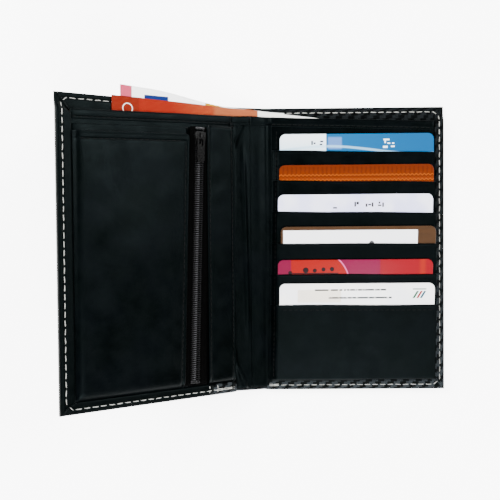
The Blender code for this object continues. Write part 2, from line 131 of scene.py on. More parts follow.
def lines(start, end, step, edge=True, marks=()):
    """Places of grid lines: even ones, with close ones at the two edges and round each mark."""
    found = even(start, end, max(1, round((end - start) / step)))
    if edge:
        for near in (0.12, 0.3, 0.6, 1.0, 1.6):
            found += [start + near, end - near]
    for mark in marks:
        found += [mark + off for off in (-1.1, -0.6, -0.3, 0, 0.3, 0.6, 1.1)]
    found = sorted(x for x in found if start <= x <= end)
    kept = [found[0]]
    for x in found[1:-1]:
        if x - kept[-1] > 0.09 and found[-1] - x > 0.09:
            kept.append(x)
    return kept + [found[-1]]


def shares(start, end, step, marks=()):
    """Places of grid lines as shares of the way from start to end."""
    return [(x - start) / (end - start) for x in lines(start, end, step, marks=marks)]


def groove(distance, depth=0.22, width=0.55):
    """How far a seam pulls the surface down at a distance from it."""
    return -depth * bell(distance, width)


def rolled(distance, radius):
    """How far a rounded edge has dropped at a distance in from it."""
    if distance >= radius:
        return 0.0
    return radius * (math.sqrt(max(0.0, 1 - (1 - max(distance, 0) / radius) ** 2)) - 1)


# ---- meshes --------------------------------------------------------------------------------
def add_object(name, mesh, material, shade_smooth=True):
    for polygon in mesh.polygons:
        polygon.use_smooth = shade_smooth
    mesh.materials.clear()
    mesh.materials.append(material)
    obj = bpy.data.objects.new(name, mesh)
    bpy.context.scene.collection.objects.link(obj)
    return obj


def applied(obj):
    """Puts the result of the object's modifiers into its mesh."""
    depsgraph = bpy.context.evaluated_depsgraph_get()
    mesh = bpy.data.meshes.new_from_object(obj.evaluated_get(depsgraph))
    obj.modifiers.clear()
    obj.data = mesh
    return obj


def thicken(obj, thickness):
    solid = obj.modifiers.new("thickness", "SOLIDIFY")
    solid.thickness, solid.offset = thickness * MM, -1
    return applied(obj)


def mesh_from(name, points, uvs, faces, flip=False):
    """A mesh from points in the scene, with a UV for each point in tenths of a metre."""
    bm = bmesh.new()
    layer = bm.loops.layers.uv.new("flat")
    made = [bm.verts.new(p) for p in points]
    for face in faces:
        ids = list(dict.fromkeys(face))
        if len(ids) < 3:
            continue
        ids = ids[::-1] if flip else ids
        new = bm.faces.new([made[i] for i in ids])
        for loop, i in zip(new.loops, ids):
            loop[layer].uv = (uvs[i][0] / 100, uvs[i][1] / 100)
    bmesh.ops.remove_doubles(bm, verts=bm.verts, dist=2e-6)
    mesh = bpy.data.meshes.new(name)
    bm.to_mesh(mesh)
    bm.free()
    return mesh


def grid_faces(columns, rows):
    return [(i * rows + j, (i + 1) * rows + j, (i + 1) * rows + j + 1, i * rows + j + 1)
            for i in range(columns - 1) for j in range(rows - 1)]


def tube_faces(first, rings, sides, flip=False):
    """Faces of a closed tube, whose points follow each other ring by ring from the first."""
    starts = [first + ring * sides for ring in range(rings)]
    faces = [(a + j, b + j, b + (j + 1) % sides, a + (j + 1) % sides)
             for a, b in zip(starts, starts[1:]) for j in range(sides)]
    faces += [tuple(range(first, first + sides)), tuple(range(starts[-1] + sides - 1, starts[-1] - 1, -1))]
    return [face[:1] + face[:0:-1] for face in faces] if flip else faces


def panel(name, us, vs, spot, material, thickness=0.4, to_scene=on_wallet, side=1):
    """A sheet over the grid of us and vs. spot gives across, along and height for each."""
    flat = [spot(u, v) for u in us for v in vs]
    points = [to_scene(*p) for p in flat]
    mesh = mesh_from(name, points, flat, grid_faces(len(us), len(vs)), flip=side < 0)
    return thicken(add_object(name, mesh, material), thickness)


def settle(obj, where, slot, *nodes):
    """Attaches the piece to the body it moves with and hides the nodes it replaces; a piece on a fold's
    bend is only baked into the scene, and slot is not used.
    """
    if where in ("right_fold_bend", "left_fold_bend"):
        side, half = (1, "right_half") if where == "right_fold_bend" else (-1, "left_half")
        near, far = (on_body("spine", side * (HALF_SPINE + off), 0, 0) for off in (-BEND, BEND))
        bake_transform(obj)
        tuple(near)
        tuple(far)
    else:
        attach(obj, where)
    if nodes:
        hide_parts(*nodes)
    return obj


def sewn(obj, where, *nodes):
    """Settles a piece of the interior."""
    return settle(obj, where, "interior_leatherette", *nodes)


# ---- materials -----------------------------------------------------------------------------
def rgb(code):
    """A colour's linear value from its usual code."""
    values = [int(code[k:k + 2], 16) / 255 for k in (0, 2, 4)]
    return tuple(v / 12.92 if v <= 0.04045 else ((v + 0.055) / 1.055) ** 2.4 for v in values) + (1,)


class Finish:
    """A Principled material, with short ways to add nodes. Lengths in it are millimetres."""

    def __init__(self, name, code, roughness, specular, **inputs):
        self.material = bpy.data.materials.new(name)
        self.material.use_nodes = True
        self.nodes, self.links = self.material.node_tree.nodes, self.material.node_tree.links
        self.surface = self.nodes["Principled BSDF"]
        inputs |= {"Base_Color": rgb(code), "Roughness": roughness, "Specular_IOR_Level": specular}
        for key, value in inputs.items():
            self.surface.inputs[key.replace("_", " ")].default_value = value
        coordinates = self.nodes.new("ShaderNodeTexCoord")
        self.flat = self.scaled(coordinates.outputs["UV"], 100)
        self.solid = self.scaled(coordinates.outputs["Object"], 1000)
        parts = self.nodes.new("ShaderNodeSeparateXYZ")
        self.links.new(self.flat, parts.inputs[0])
        self.x, self.y = parts.outputs[0], parts.outputs[1]

    def scaled(self, vector, scale):
        node = self.nodes.new("ShaderNodeVectorMath")
        node.operation = "SCALE"
        node.inputs["Scale"].default_value = scale
        self.links.new(vector, node.inputs[0])
        return node.outputs[0]

    def put(self, socket, value):
        if isinstance(value, bpy.types.NodeSocket):
            self.links.new(value, socket)
        else:
            socket.default_value = rgb(value) if isinstance(value, str) else value

    def math(self, operation, a, b=0.0):
        node = self.nodes.new("ShaderNodeMath")
        node.operation = operation
        self.put(node.inputs[0], a)
        self.put(node.inputs[1], b)
        return node.outputs[0]

    def times(self, a, b):
        return self.math("MULTIPLY", a, b)

    def plus(self, a, b):
        return self.math("ADD", a, b)

    def minus(self, a, b):
        return self.math("SUBTRACT", a, b)

    def sine(self, value, rate):
        return self.math("SINE", self.times(value, rate))

    def ramped(self, value, low, high, start=0.0, end=1.0):
        node = self.nodes.new("ShaderNodeMapRange")
        node.interpolation_type = "SMOOTHSTEP"
        for socket, item in zip(node.inputs, (value, low, high, start, end)):
            self.put(socket, item)
        return node.outputs[0]

    def band(self, value, low, high, soft=0.15):
        """1 where value lies between low and high, else 0."""
        return self.times(self.ramped(value, low - soft, low + soft),
                          self.ramped(value, high - soft, high + soft, 1.0, 0.0))

    def box(self, left, bottom, right, top, soft=0.15):
        return self.times(self.band(self.x, left, right, soft), self.band(self.y, bottom, top, soft))

    def distance(self, x, y):
        squares = [self.math("POWER", self.minus(a, b), 2) for a, b in ((self.x, x), (self.y, y))]
        return self.math("SQRT", self.plus(*squares))

    def disc(self, x, y, radius, ring=None):
        return self.band(self.distance(x, y), radius - ring if ring else -1, radius, 0.12)

    def noise(self, size, detail=2.0, roughness=0.5, vector=None, stretch=None):
        vector = vector or self.flat
        if stretch:
            mapping = self.nodes.new("ShaderNodeMapping")
            mapping.inputs["Scale"].default_value = stretch
            self.links.new(vector, mapping.inputs[0])
            vector = mapping.outputs[0]
        node = self.nodes.new("ShaderNodeTexNoise")
        self.links.new(vector, node.inputs["Vector"])
        for key, value in (("Scale", 1 / size), ("Detail", detail), ("Roughness", roughness)):
            node.inputs[key].default_value = value
        return node.outputs[0]

    def cells(self, size):
        node = self.nodes.new("ShaderNodeTexVoronoi")
        node.feature = "DISTANCE_TO_EDGE"
        self.links.new(self.flat, node.inputs["Vector"])
        node.inputs["Scale"].default_value = 1 / size
        return node.outputs[0]

    def mix(self, share, a, b):
        node = self.nodes.new("ShaderNodeMix")
        node.data_type = "RGBA"
        self.put(node.inputs["Factor"], share)
        self.put(node.inputs[6], a)
        self.put(node.inputs[7], b)
        return node.outputs[2]

    def colour(self, value):
        self.put(self.surface.inputs["Base Color"], value)

    def roughness(self, value, low, high):
        self.put(self.surface.inputs["Roughness"], self.ramped(value, 0.3, 0.7, low, high))

    def bump(self, height, distance):
        """Height from 0 to 1 stands for that many millimetres."""
        node = self.nodes.new("ShaderNodeBump")
        node.inputs["Distance"].default_value = distance * MM
        self.links.new(height, node.inputs["Height"])
        if self.surface.inputs["Normal"].is_linked:
            self.links.new(self.surface.inputs["Normal"].links[0].from_socket, node.inputs["Normal"])
        self.links.new(node.outputs[0], self.surface.inputs["Normal"])

    # A print is built up in layers: start, then over or blocks, then printed.
    def start(self, share, a, b):
        self.layers = self.mix(share, a, b)

    def over(self, mask, code, share=None):
        """Prints a colour over what is there, where the mask is 1."""
        self.layers = self.mix(self.times(mask, share) if share else mask, self.layers, code)

    def blocks(self, code, soft, *blocks):
        """Small printed blocks, each given by its left, bottom, width and height."""
        for x, y, wide, tall in blocks:
            self.over(self.box(x, y, x + wide, y + tall, soft), code)

    def printed(self):
        self.colour(self.layers)
        return self.material


def leatherette(name, dark, light, roughness, grain, depth):
    """Soft coated fabric: a fine grain of small cells, broad patches of wear, faint creases."""
    f = Finish(name, dark, roughness, 0.036, Specular_Tint=(0.72, 0.97, 1, 1))
    f.colour(f.mix(f.ramped(f.noise(26, 3), 0.35, 0.68), dark, light))
    f.roughness(f.noise(9, 4, 0.6), roughness - 0.06, roughness + 0.1)
    creases = f.noise(4.0, 4, 0.6, stretch=(1, 0.45, 1))
    f.bump(f.plus(f.ramped(f.cells(grain), 0.0, 0.35), f.times(creases, 0.8)), depth)
    return f.material


def twill(name, dark, light):
    """Leatherette pressed with a 2 by 2 twill: each block has fine ribs along its own tow. The over blocks
    are painted lighter as a painted sheen, which fades towards the top as painted light.
    """
    f = Finish(name, dark, 0.4, 0.03, Specular_Tint=(0.75, 0.97, 1, 1))
    tow, ribs_in_tow = 1.75, 5
    wobble = f.times(f.minus(f.noise(9, 1), 0.5), 0.5)
    wholes, heights = [], []
    for value in (f.x, f.y):
        place = f.math("DIVIDE", f.plus(value, wobble), tow)
        wholes.append(f.math("FLOOR", place))
        crown = f.sine(f.minus(place, wholes[-1]), math.pi)
        ribs = f.plus(f.times(f.sine(place, TURN * ribs_in_tow), 0.25), 0.25)
        heights.append(f.plus(f.times(f.math("SQRT", crown), 0.7), ribs))
    over = f.math("LESS_THAN", f.math("FLOORED_MODULO", f.plus(*wholes), 4.0), 1.5)
    under = f.minus(1.0, over)
    speckle = f.noise(0.45, 2)
    # Painted sheen: the over blocks get a lighter, speckled colour, full at the bottom and fading to about
    # a fifth at the top, as painted light.
    painted_block_sheen = f.times(over, f.ramped(speckle, 0.3, 0.7, 0.35, 1.0))
    f.colour(f.mix(f.times(painted_block_sheen, f.ramped(f.y, -72, 40, 1.0, 0.22)), dark, light))
    f.roughness(f.plus(f.times(over, 0.4), 0.3), 0.36, 0.5)
    f.bump(f.plus(f.times(over, heights[0]), f.times(under, f.times(heights[1], 0.72))), 0.12)
    f.bump(speckle, 0.03)
    return f.material


def woven(name, dark, light, pitch, herringbone=False):
    """Plain or herringbone tape weave, its hollows painted darker as painted shade."""
    f = Finish(name, dark, 0.8, 0.02)
    x, y = (f.math("DIVIDE", value, pitch) for value in (f.x, f.y))
    if herringbone:
        yarn = f.sine(f.plus(y, f.math("PINGPONG", x, 2.0)), TURN)
    else:
        yarn = f.times(f.sine(x, TURN), f.sine(y, TURN))
    height = f.ramped(yarn, -1.0, 1.0)
    # Painted shade: the colour follows the weave's height, darker in the hollows, varied at random by
    # noise.
    f.colour(f.mix(f.times(height, f.noise(3, 3)), dark, light))
    f.bump(height, 0.09)
    return f.material


def thread_finish(name, dark, light, roughness=0.7):
    """Twisted thread, a little worn in places, with the hollows of its twist painted darker as painted
    shade.
    """
    f = Finish(name, light, roughness, 0.15)
    height = f.ramped(f.sine(f.plus(f.x, f.y), TURN / 0.5), -1.0, 1.0)
    wear = f.ramped(f.noise(3, 2), 0.3, 0.6, 0.6, 1.0)
    # Painted shade in the twist's hollows: the colour follows the twist's height, and the wear noise
    # varies it at random.
    f.colour(f.mix(f.times(height, wear), dark, light))
    f.bump(height, 0.05)
    return f.material


def metal_finish(name, dark, light, roughness, metallic, coat):
    """Lacquered metal with fine scuffs that show the lighter metal."""
    f = Finish(name, dark, roughness, 0.05, Metallic=metallic, Coat_Weight=coat, Coat_Roughness=0.12)
    scuffs = f.noise(0.5, 4, 0.7, vector=f.solid, stretch=(1, 0.35, 1))
    f.colour(f.mix(f.ramped(scuffs, 0.62, 0.75), dark, light))
    f.roughness(f.noise(0.8, 3, vector=f.solid), roughness - 0.08, roughness + 0.14)
    f.bump(f.noise(0.7, 3, vector=f.solid), 0.025)
    return f.material


def board_finish(name, dark, light):
    """Dull pressed board with fine fibres."""
    f = Finish(name, dark, 0.85, 0.4)
    f.colour(f.mix(f.noise(1.2, 4, vector=f.solid), dark, light))
    f.roughness(f.noise(1.2, 3, vector=f.solid), 0.79, 0.93)
    f.bump(f.noise(0.4, 3, vector=f.solid), 0.04)
    return f.material


def coil_finish(name, dark, light):
    """Black nylon, painted lighter at each turn's crown along the middle, a painted highlight where the
    teeth of both sides cross.
    """
    f = Finish(name, "020202", 0.4, 0.04)
    # Painted highlight: a lighter colour on the crowns of the turns, strongest along the middle.
    middle = f.ramped(f.math("ABSOLUTE", f.x), 0.3, 2.8, 1.0, 0.12)
    painted_crown_highlight = f.ramped(f.sine(f.y, TURN / COIL_PITCH), -0.2, 0.8)
    f.colour(f.mix(f.times(middle, painted_crown_highlight), dark, light))
    f.bump(f.noise(0.4, 3, vector=f.solid), 0.02)
    return f.material


def card_finish(name, code):
    """Glossy laminate: the print under a thin clear coat, faintly rippled and scratched."""
    f = Finish(name, code, 0.32, 0.1, Coat_Weight=0.08, Coat_Roughness=0.12)
    scratch = f.noise(0.35, 3, 0.7, stretch=(0.06, 1, 1))
    f.roughness(scratch, 0.28, 0.42)
    f.bump(f.noise(7, 2), 0.02)
    f.bump(scratch, 0.004)
    return f


# The prints lie in the card's own millimetres, from its lower left corner. Only the top ten show.
def card_blue():
    f = card_finish("card_blue_print", "3FA9C9")
    pale = f.mix(f.ramped(f.y, 44, 53), "CDE4F2", "EAF5FC")
    blue = f.mix(f.ramped(f.x, 26, 86), "00507E", "004876")
    f.start(f.ramped(f.x, 25.6, 26.0), pale, blue)
    f.over(f.box(26.8, 45.5, 34.5, 52.2, 0.6), "6E8CC8", 0.5)
    swoosh = f.minus(f.y, f.plus(44.3, f.times(f.sine(f.x, 0.06), 2.2)))
    f.over(f.band(swoosh, 0, 1.3, 0.3), "9CCBE4", 0.55)
    f.blocks("0A1230", 0.05, (17.5, 48.0, 0.9, 2.2), (18.8, 48.4, 1.1, 0.9), (22.2, 47.8, 1.5, 0.8),
             (22.4, 49.4, 1.8, 0.8))
    f.blocks("EAF6FA", 0.15, (57.6, 50.2, 3.4, 0.8), (58.2, 48.6, 0.8, 1.6), (59.8, 48.2, 1.6, 0.7),
             (57.4, 45.9, 2.6, 1.2), (61.8, 46.4, 2.1, 0.8), (62.4, 48.2, 1.2, 0.7))
    return f.printed()


def card_orange():
    f = card_finish("card_orange_print", "C85F0F")
    f.start(f.ramped(f.y, 45, 53.5), "6A2600", "561A00")
    hatch = f.ramped(f.sine(f.plus(f.x, f.times(f.noise(1.5, 2), 1.6)), 2.6), -0.2, 0.9)
    f.over(f.times(hatch, f.band(f.y, 48.9, 53, 0.4)), "3E1200", 0.5)
    for low, shift in ((46.8, 0.0), (44.2, 1.1)):
        zigzag = f.times(f.math("PINGPONG", f.plus(f.x, shift), 1.1), 0.9)
        line = f.minus(f.y, f.plus(low, zigzag))
        f.over(f.band(line, 0, 0.55), "3A0F00", 0.75)
        f.over(f.band(line, 0.8, 1.3), "9A4A06", 0.7)
    f.over(f.noise(0.6, 3), "3A1400", 0.3)
    return f.printed()


def card_lavender():
    f = card_finish("card_lavender_print", "E4E1EE")
    f.start(f.ramped(f.noise(18, 2), 0.35, 0.65), "D0D2F6", "E9EAFC")
    f.blocks("15141C", 0.05, (30.4, 46.2, 2.2, 0.8), (42.2, 47.2, 0.9, 2.6), (43.4, 48.4, 1.3, 1.4),
             (48.4, 47.0, 1.0, 1.8), (49.8, 47.8, 1.7, 0.8), (51.8, 47.0, 0.9, 2.4),
             (55.2, 47.4, 1.9, 0.8), (55.6, 48.7, 0.9, 1.1), (57.6, 46.9, 0.9, 2.4))
    return f.printed()


def card_brown():
    f = card_finish("card_brown_print", "7A5234")
    wood = f.mix(f.noise(2.0, 4, 0.6, stretch=(0.25, 1, 1)), "2B1C0F", "402A18")
    f.start(f.box(1.3, 2, 75.5, 52.0), wood, "F6F7FA")
    f.over(f.box(8, 44.6, 24, 44.9), "7A7E84", 0.5)
    f.over(f.disc(50.2, 44.6, 1.4), "38383A")
    return f.printed()


def card_magenta():
    f = card_finish("card_magenta_print", "C2287E")
    f.start(f.ramped(f.x, 6.9, 7.6), "620028", "7C0400")
    far = f.distance(20, 40)
    f.over(f.ramped(far, 19.3, 19.7), "62002C")
    f.over(f.band(far, 19.3, 20.0, 0.12), "B84A80")
    f.over(f.ramped(f.x, 6.5, 7.2, 1.0, 0.0), "5E0028")
    f.over(f.ramped(f.x, 56.0, 57.0), "740010")
    f.over(f.band(f.x, 78.5, 81.5, 1.2), "8A1E06", 0.6)
    for x, y, radius in ((6.8, 46.9, 1.125), (15.4, 48.3, 1.575), (20.4, 48.1, 1.125),
                         (25.2, 48.7, 1.125), (29.9, 48.8, 1.2)):
        f.over(f.disc(x, y, radius), "120408")
    f.over(f.box(7.5, 46.2, 33.5, 46.8), "120408")
    return f.printed()


def card_white():
    f = card_finish("card_white_print", "EDEDEB")
    f.start(f.ramped(f.noise(24, 2), 0.4, 0.6), "F4F5F8", "FCFCFA")
    f.over(f.box(10, 43.5, 34, 50.6, 0.4), "D2BC92", 0.5)
    dashes = f.ramped(f.noise(0.9, 1, stretch=(1, 0.1, 1)), 0.36, 0.44)
    for start, y, end in ((19.5, 50.0, 59.0), (27.0, 45.6, 62.0)):
        f.over(f.times(f.box(start, y, end, y + 0.9, 0.1), dashes), "14161A")
    slant = f.minus(f.x, f.times(f.y, 0.6))
    for low, code in ((46.0, "00492C"), (48.1, "7A0010"), (50.0, "003E50")):
        f.over(f.times(f.band(slant, low, low + 1.2), f.band(f.y, 45.6, 49.6)), code)
    f.over(f.box(73.5, 50.4, 81.0, 51.0), "00492C")
    return f.printed()


def note_front_paper():
    """Banknote paper with halftone print from the left end, and bare paper at the right."""
    f = Finish("note_front_paper", "E8E2DA", 0.75, 0.05)
    dots = f.times(f.sine(f.plus(f.x, f.y), 5.2), f.sine(f.minus(f.x, f.y), 5.2))
    f.start(f.ramped(f.x, -66.0, -65.0), "5C0000", "6E0200")
    f.over(f.ramped(f.x, -55, -30), "700400")
    f.over(f.ramped(f.x, -23.5, -20.0), "7A3C26")
    f.over(f.times(f.ramped(dots, -0.1, 0.5), f.ramped(f.x, -50, -25, 0.12, 0.42)), "D07F45")
    f.over(f.ramped(f.x, 4.4, 5.2), "EEECE8")
    f.over(f.disc(-71.8, 73.6, 2.8, 0.42), "E8E0D8")
    f.bump(f.noise(0.4, 4), 0.02)
    return f.printed()


def note_back_paper():
    f = Finish("note_back_paper", "EEECE8", 0.78, 0.05)
    hatch = f.ramped(f.sine(f.minus(f.x, f.y), 6.0), 0, 0.6)
    f.start(f.ramped(f.noise(30, 3), 0.35, 0.65), "FAFAF9", "FFFFFF")
    f.over(f.box(-75.6, 70, -69.4, 87), f.mix(f.times(hatch, 0.4), "A02946", "D87C90"))
    f.over(f.disc(-67.3, 77.6, 0.5), "303036")
    f.over(f.box(-62.5, 60, -49.0, 81.4), "0E1F54")
    f.over(f.box(-27.0, 70, -17.0, 84, 0.4), "A87A10")
    f.bump(f.noise(0.4, 4), 0.02)
    return f.printed()


SMOOTH = leatherette("smooth_cover", "000101", "010202", 0.4, grain=0.6, depth=0.03)
INSIDE = leatherette("inside_leatherette", "000101", "010203", 0.37, grain=0.55, depth=0.022)
# The twill's light colour is the painted sheen of its over blocks.
TWILL = twill("twill_cover", "010101", "303437")
WHITE = thread_finish("white_stitches", "6E6E6A", "C4C4BF")
BLACK = thread_finish("black_stitches", "000000", "010101", 0.85)
TAPE = woven("zip_tape_weave", "000000", "020202", 0.42, herringbone=True)
LINING = woven("lining_weave", "010101", "040404", 0.5)
# The coil's light colour is its painted highlight.
COIL = coil_finish("zip_coil_nylon", "000000", "3C3C3E")
SLIDER = metal_finish("slider_lacquer", "010101", "0A0A0B", 0.16, 0.05, 0.06)
TAB = metal_finish("pull_lacquer", "000000", "010101", 0.3, 0.0, 0.0)
STOPS = metal_finish("stop_metal", "1A1A1B", "8A8A8C", 0.32, 0.8, 0.2)
BOARD = board_finish("stiffener_board", "57504A", "70685F")


# ---- stitches ------------------------------------------------------------------------------
def along_path(points, distance):
    """The point and direction at a distance along a path of flat points."""
    for a, b in zip(points, points[1:]):
        run = (b - a).length
        if distance <= run or b is points[-1]:
            return a + (b - a) * (distance / run), (b - a) / run
        distance -= run


def stitches(name, paths, material, pitch=PITCH, share=0.7, radius=0.22, height=0.24):
    """Rows of threads lying on a surface, each one stitch long and dipping in at its ends."""
    points, uvs, faces = [], [], []
    sides = 6
    stations = (-1, -0.9, -0.6, 0, 0.6, 0.9, 1)
    for path in paths:
        path = [Vector(p) for p in path]
        whole = sum((b - a).length for a, b in zip(path, path[1:]))
        count = max(1, round(whole / pitch))
        step = whole / count
        for k in range(count):
            middle = (k + 0.5) * step
            first = len(points)
            lean = 0.10 * math.sin(k * 2.7 + whole)
            for t in stations:
                centre, run = along_path(path, min(max(middle + t * step * share / 2, 0), whole - 1e-6))
                sideways = Vector((-run.y, run.x, 0))
                sideways.normalize()
                centre = centre + sideways * (lean * t)
                drop = 0.05 * t * t + 0.42 * abs(t) ** 8
                size = 1 - 0.45 * abs(t) ** 6
                for j in range(sides):
                    angle = TURN * (j + 0.5) / sides
                    p = (centre + sideways * (radius * size * math.cos(angle))
                         + Vector((0, 0, height * (size * math.sin(angle) - drop / 0.42))))
                    points.append(p)
                    uvs.append((p.x + 3 * math.cos(angle) * radius, p.y))
            faces += tube_faces(first, len(stations), sides)
    mesh = mesh_from(name, [on_wallet(*p) for p in points], uvs, faces)
    return add_object(name, mesh, material)


def white_seam(name, rows, where, *nodes, **sizes):
    settle(stitches(name, rows, WHITE, **sizes), where, "white_thread", *nodes)


def dark_seam(name, rows, where):
    sewn(stitches(name, rows, BLACK, pitch=3.0, share=0.72, radius=0.2, height=0.16), where)


# ---- cover ---------------------------------------------------------------------------------
def rim_inset(width, station):
    """Distance in from the edge at a station of the turned hem: a length, or a share of it."""
    kind, value = station
    return min(value, width - 0.1 * (8 - value)) if kind == "in" else width - value


def cover_skin(name, side, start, material, stop=None):
    """Outer face, rolled edges and turned hems of one stretch of the cover, as one sheet.
    It runs from start to the outer edge and round it, or only as far as stop."""
    to_edge = stop is None
    end = EDGE if to_edge else stop
    reach = end - SIDE_ZONE if to_edge else end
    widths = (HEM_BOTTOM, HEM_WIDTH[side], HEM_HEAD)

    # samples of the path round the edge: (corner or side, place, angle, top of the hem)
    across_lines = lines(start, reach, 2.0, edge=False)
    outer_steps = [reach + (SIDE_ZONE - CORNER) * k / 8 for k in range(1, 8)] if to_edge else []
    quarter = even(0, math.pi / 2, 8)
    # at the spine the hem lies flat under the gusset, and it rises beside the fold
    path = [("bottom", across, 0, TOP_HEM_TOP + (HEM_TOP - TOP_HEM_TOP) * smooth((across - 7.9) / 2.6))
            for across in across_lines]
    if to_edge:
        path += [("bottom", across, 0, HEM_TOP) for across in outer_steps]
        path += [("low corner", 0, angle, HEM_TOP) for angle in quarter]
        for along in lines(BOTTOM + CORNER, TOP - CORNER, 2.0, edge=False)[1:-1]:
            share = smooth((along - HEM_DROP[0]) / (HEM_DROP[1] - HEM_DROP[0]))
            path.append(("side", along, 0, HEM_TOP + (TOP_HEM_TOP - HEM_TOP) * share))
        path += [("high corner", 0, angle, TOP_HEM_TOP) for angle in quarter]
    path += [("top", across, 0, TOP_HEM_TOP) for across in reversed(across_lines + outer_steps)]
    # without an outer edge, the bottom and top runs aren't joined to each other
    unjoined = None if to_edge else len(across_lines) - 1

    def spot(sample, ins):
        """Plan position of a path sample at insets from the bottom, side and top edges."""
        kind, place, angle, _ = sample
        low, out, high = ins
        rho = max(CORNER - max(low, out), 0.0) if to_edge else 0
        x_end, y_low, y_high = end - out, BOTTOM + low, TOP - high
        if kind in ("bottom", "top"):
            x = place
            if to_edge and x > reach:
                x = reach + (x - reach) / (SIDE_ZONE - CORNER) * (SIDE_ZONE - out - rho)
            return x, y_low if kind == "bottom" else y_high
        if kind == "side":
            y = place
            if y < BOTTOM + END_ZONE:
                share = (y - BOTTOM - CORNER) / (END_ZONE - CORNER)
                y = y_low + rho + share * (BOTTOM + END_ZONE - y_low - rho)
            elif y > TOP - END_ZONE:
                share = (TOP - CORNER - y) / (END_ZONE - CORNER)
                y = y_high - rho - share * (y_high - rho - TOP + END_ZONE)
            return x_end, y
        tip = 0.5 * math.sin(2 * angle) ** 6 * max(0.0, 1 - max(out, 0) / 2.5)
        if kind == "low corner":
            return (x_end - rho + rho * math.sin(angle) + tip,
                    y_low + rho - rho * math.cos(angle) - tip)
        return (x_end - rho + rho * math.cos(angle) + tip,
                y_high - rho + rho * math.sin(angle) + tip)

    # rows of the sheet, each with (insets, height, distance run in the pattern) for each sample
    rows = [[((value,) * 3, COVER + bell(value - STITCH_IN, 0.4) * 0.2, value)] * len(path)
            for value in (FACE_IN, 5.0, 3.7, 3.3, 2.9, 2.5, 2.1, ROLL_IN)]
    for k in range(1, ROLL_STEPS):
        angle = -math.pi / 2 + math.pi * k / ROLL_STEPS
        share = 1 - abs(math.cos(angle)) ** 0.75
        lift = 0.5 + 0.5 * math.copysign(abs(math.sin(angle)) ** 0.75, math.sin(angle))
        row = []
        for *_, top in path:
            tall = top - COVER
            inset = min(ROLL_IN, tall / 1.6) * share
            row.append(((inset,) * 3, COVER + tall * lift, ROLL_IN - (tall + 2.2) * lift * 0.8))
        rows.append(row)
    on_top = [("in", value) for value in (1.7, 2.1, 2.5, 2.9, 3.3, 3.7, 4.2)]
    on_top += [("from end", value) for value in (1.0, 0.55, 0.25, 0.08, 0.0)]
    for station in on_top:
        row = []
        for sample in path:
            kind, _, angle, top = sample
            ins = tuple(rim_inset(width, station) for width in widths)
            own = {"bottom": ins[0], "top": ins[2]}.get(kind, ins[1])
            if station[0] == "in":
                dip = groove(own - STITCH_IN, 0.3, 0.45)
            else:
                dip = -0.32 * (1 - station[1]) ** 3
            pleat = 0.4 * bell(angle - math.pi / 4, 0.25) if "corner" in kind else 0
            x, y = spot(sample, ins)
            wrinkle = 0.10 * wave(x, y, 9, 3) + 0.05 * wave(x, y, 3, 5)
            row.append((ins, top + dip + pleat + wrinkle, -own - 3.6))
        rows.append(row)
    points, uvs, faces = [], [], []
    for row in rows:
        for sample, (ins, height, run) in zip(path, row):
            x, y = spot(sample, ins)
            points.append(on_wallet(side * x, y, height))
            u, v = spot(sample, (run,) * 3)
            uvs.append((side * u, v))
    count = len(path)
    for r in range(len(rows) - 1):
        for a in range(r * count, (r + 1) * count - 1):
            if a - r * count != unjoined:
                faces.append((a, a + 1, a + 1 + count, a + count))

    # the middle of the outer face joins the first row
    inner_edge = [spot(sample, (FACE_IN,) * 3) for sample in path]
    columns = sorted({round(x, 5) for x, _ in inner_edge})
    if to_edge:
        levels = sorted({round(y, 5) for _, y in inner_edge})
    else:
        levels = even(BOTTOM + FACE_IN, TOP - FACE_IN, 60)
    first = len(points)
    for x in columns:
        for y in levels:
            inner = min(6, min(y - BOTTOM, TOP - y) - FACE_IN, end - x - FACE_IN if to_edge else 6) / 6
            lift = 0.12 * wave(x * side, y, 22, 9) * max(inner, 0)
            points.append(on_wallet(side * x, y, COVER + max(lift, 0)))
            uvs.append((side * x, y))
    for a, b, c, d in grid_faces(len(columns), len(levels)):
        faces.append((first + a, first + d, first + c, first + b))
    mesh = mesh_from(name, points, uvs, faces, flip=side < 0)
    return thicken(add_object(name, mesh, material), SKIN)


spine_right = cover_skin("right_cover_skin", 1, 0.0, TWILL)
settle(spine_right, "right_fold_bend", "textured_leatherette", "right_cover", "right_hem_top",
       "right_hem_side", "right_hem_bottom", "spine_cover", "spine_hem_top", "spine_hem_bottom")
accent = cover_skin("left_cover_accent_skin", -1, 0.0, TWILL, stop=SEAM)
settle(accent, "left_fold_bend", "textured_leatherette", "left_cover_accent", "left_hem_top_accent",
       "left_hem_bottom_accent")
left_skin = cover_skin("left_cover_skin", -1, SEAM, SMOOTH)
settle(left_skin, "left_half", "smooth_leatherette", "left_cover", "left_hem_top",
       "left_hem_bottom", "left_hem_side")


def edge_stitching(label, side):
    """White topstitching round three sides, seen on the hem and on the outer face."""
    low, high, out = BOTTOM + STITCH_IN, TOP - STITCH_IN, side * (EDGE - STITCH_IN)
    start, cut = side * 12.2, 3.2
    for face, first, last in (("inside", HEM_TOP + 0.05, TOP_HEM_TOP + 0.05),
                              ("outside", COVER - 0.02, COVER - 0.02)):
        path = [(start, low, first), (out - side * cut, low, first), (out, low + cut, first),
                (out, HEM_DROP[0], first), (out, HEM_DROP[1] - 0.2, last),
                (out - side * cut * 0.9, high, last), (start, high, last)]
        white_seam(f"{label}_topstitch_{face}", [path], f"{label}_half", f"{label}_hem_thread")


def back_tacks(label, side, places):
    """Stitches sewn twice over, where a row begins or ends."""
    rows = [[(side * across, BOTTOM + STITCH_IN + shift, HEM_TOP + 0.1) for across in place]
            for place in places for shift in (-0.3, 0.45)]
    white_seam(f"{label}_back_tack", rows, f"{label}_half", pitch=3.0, share=0.95)


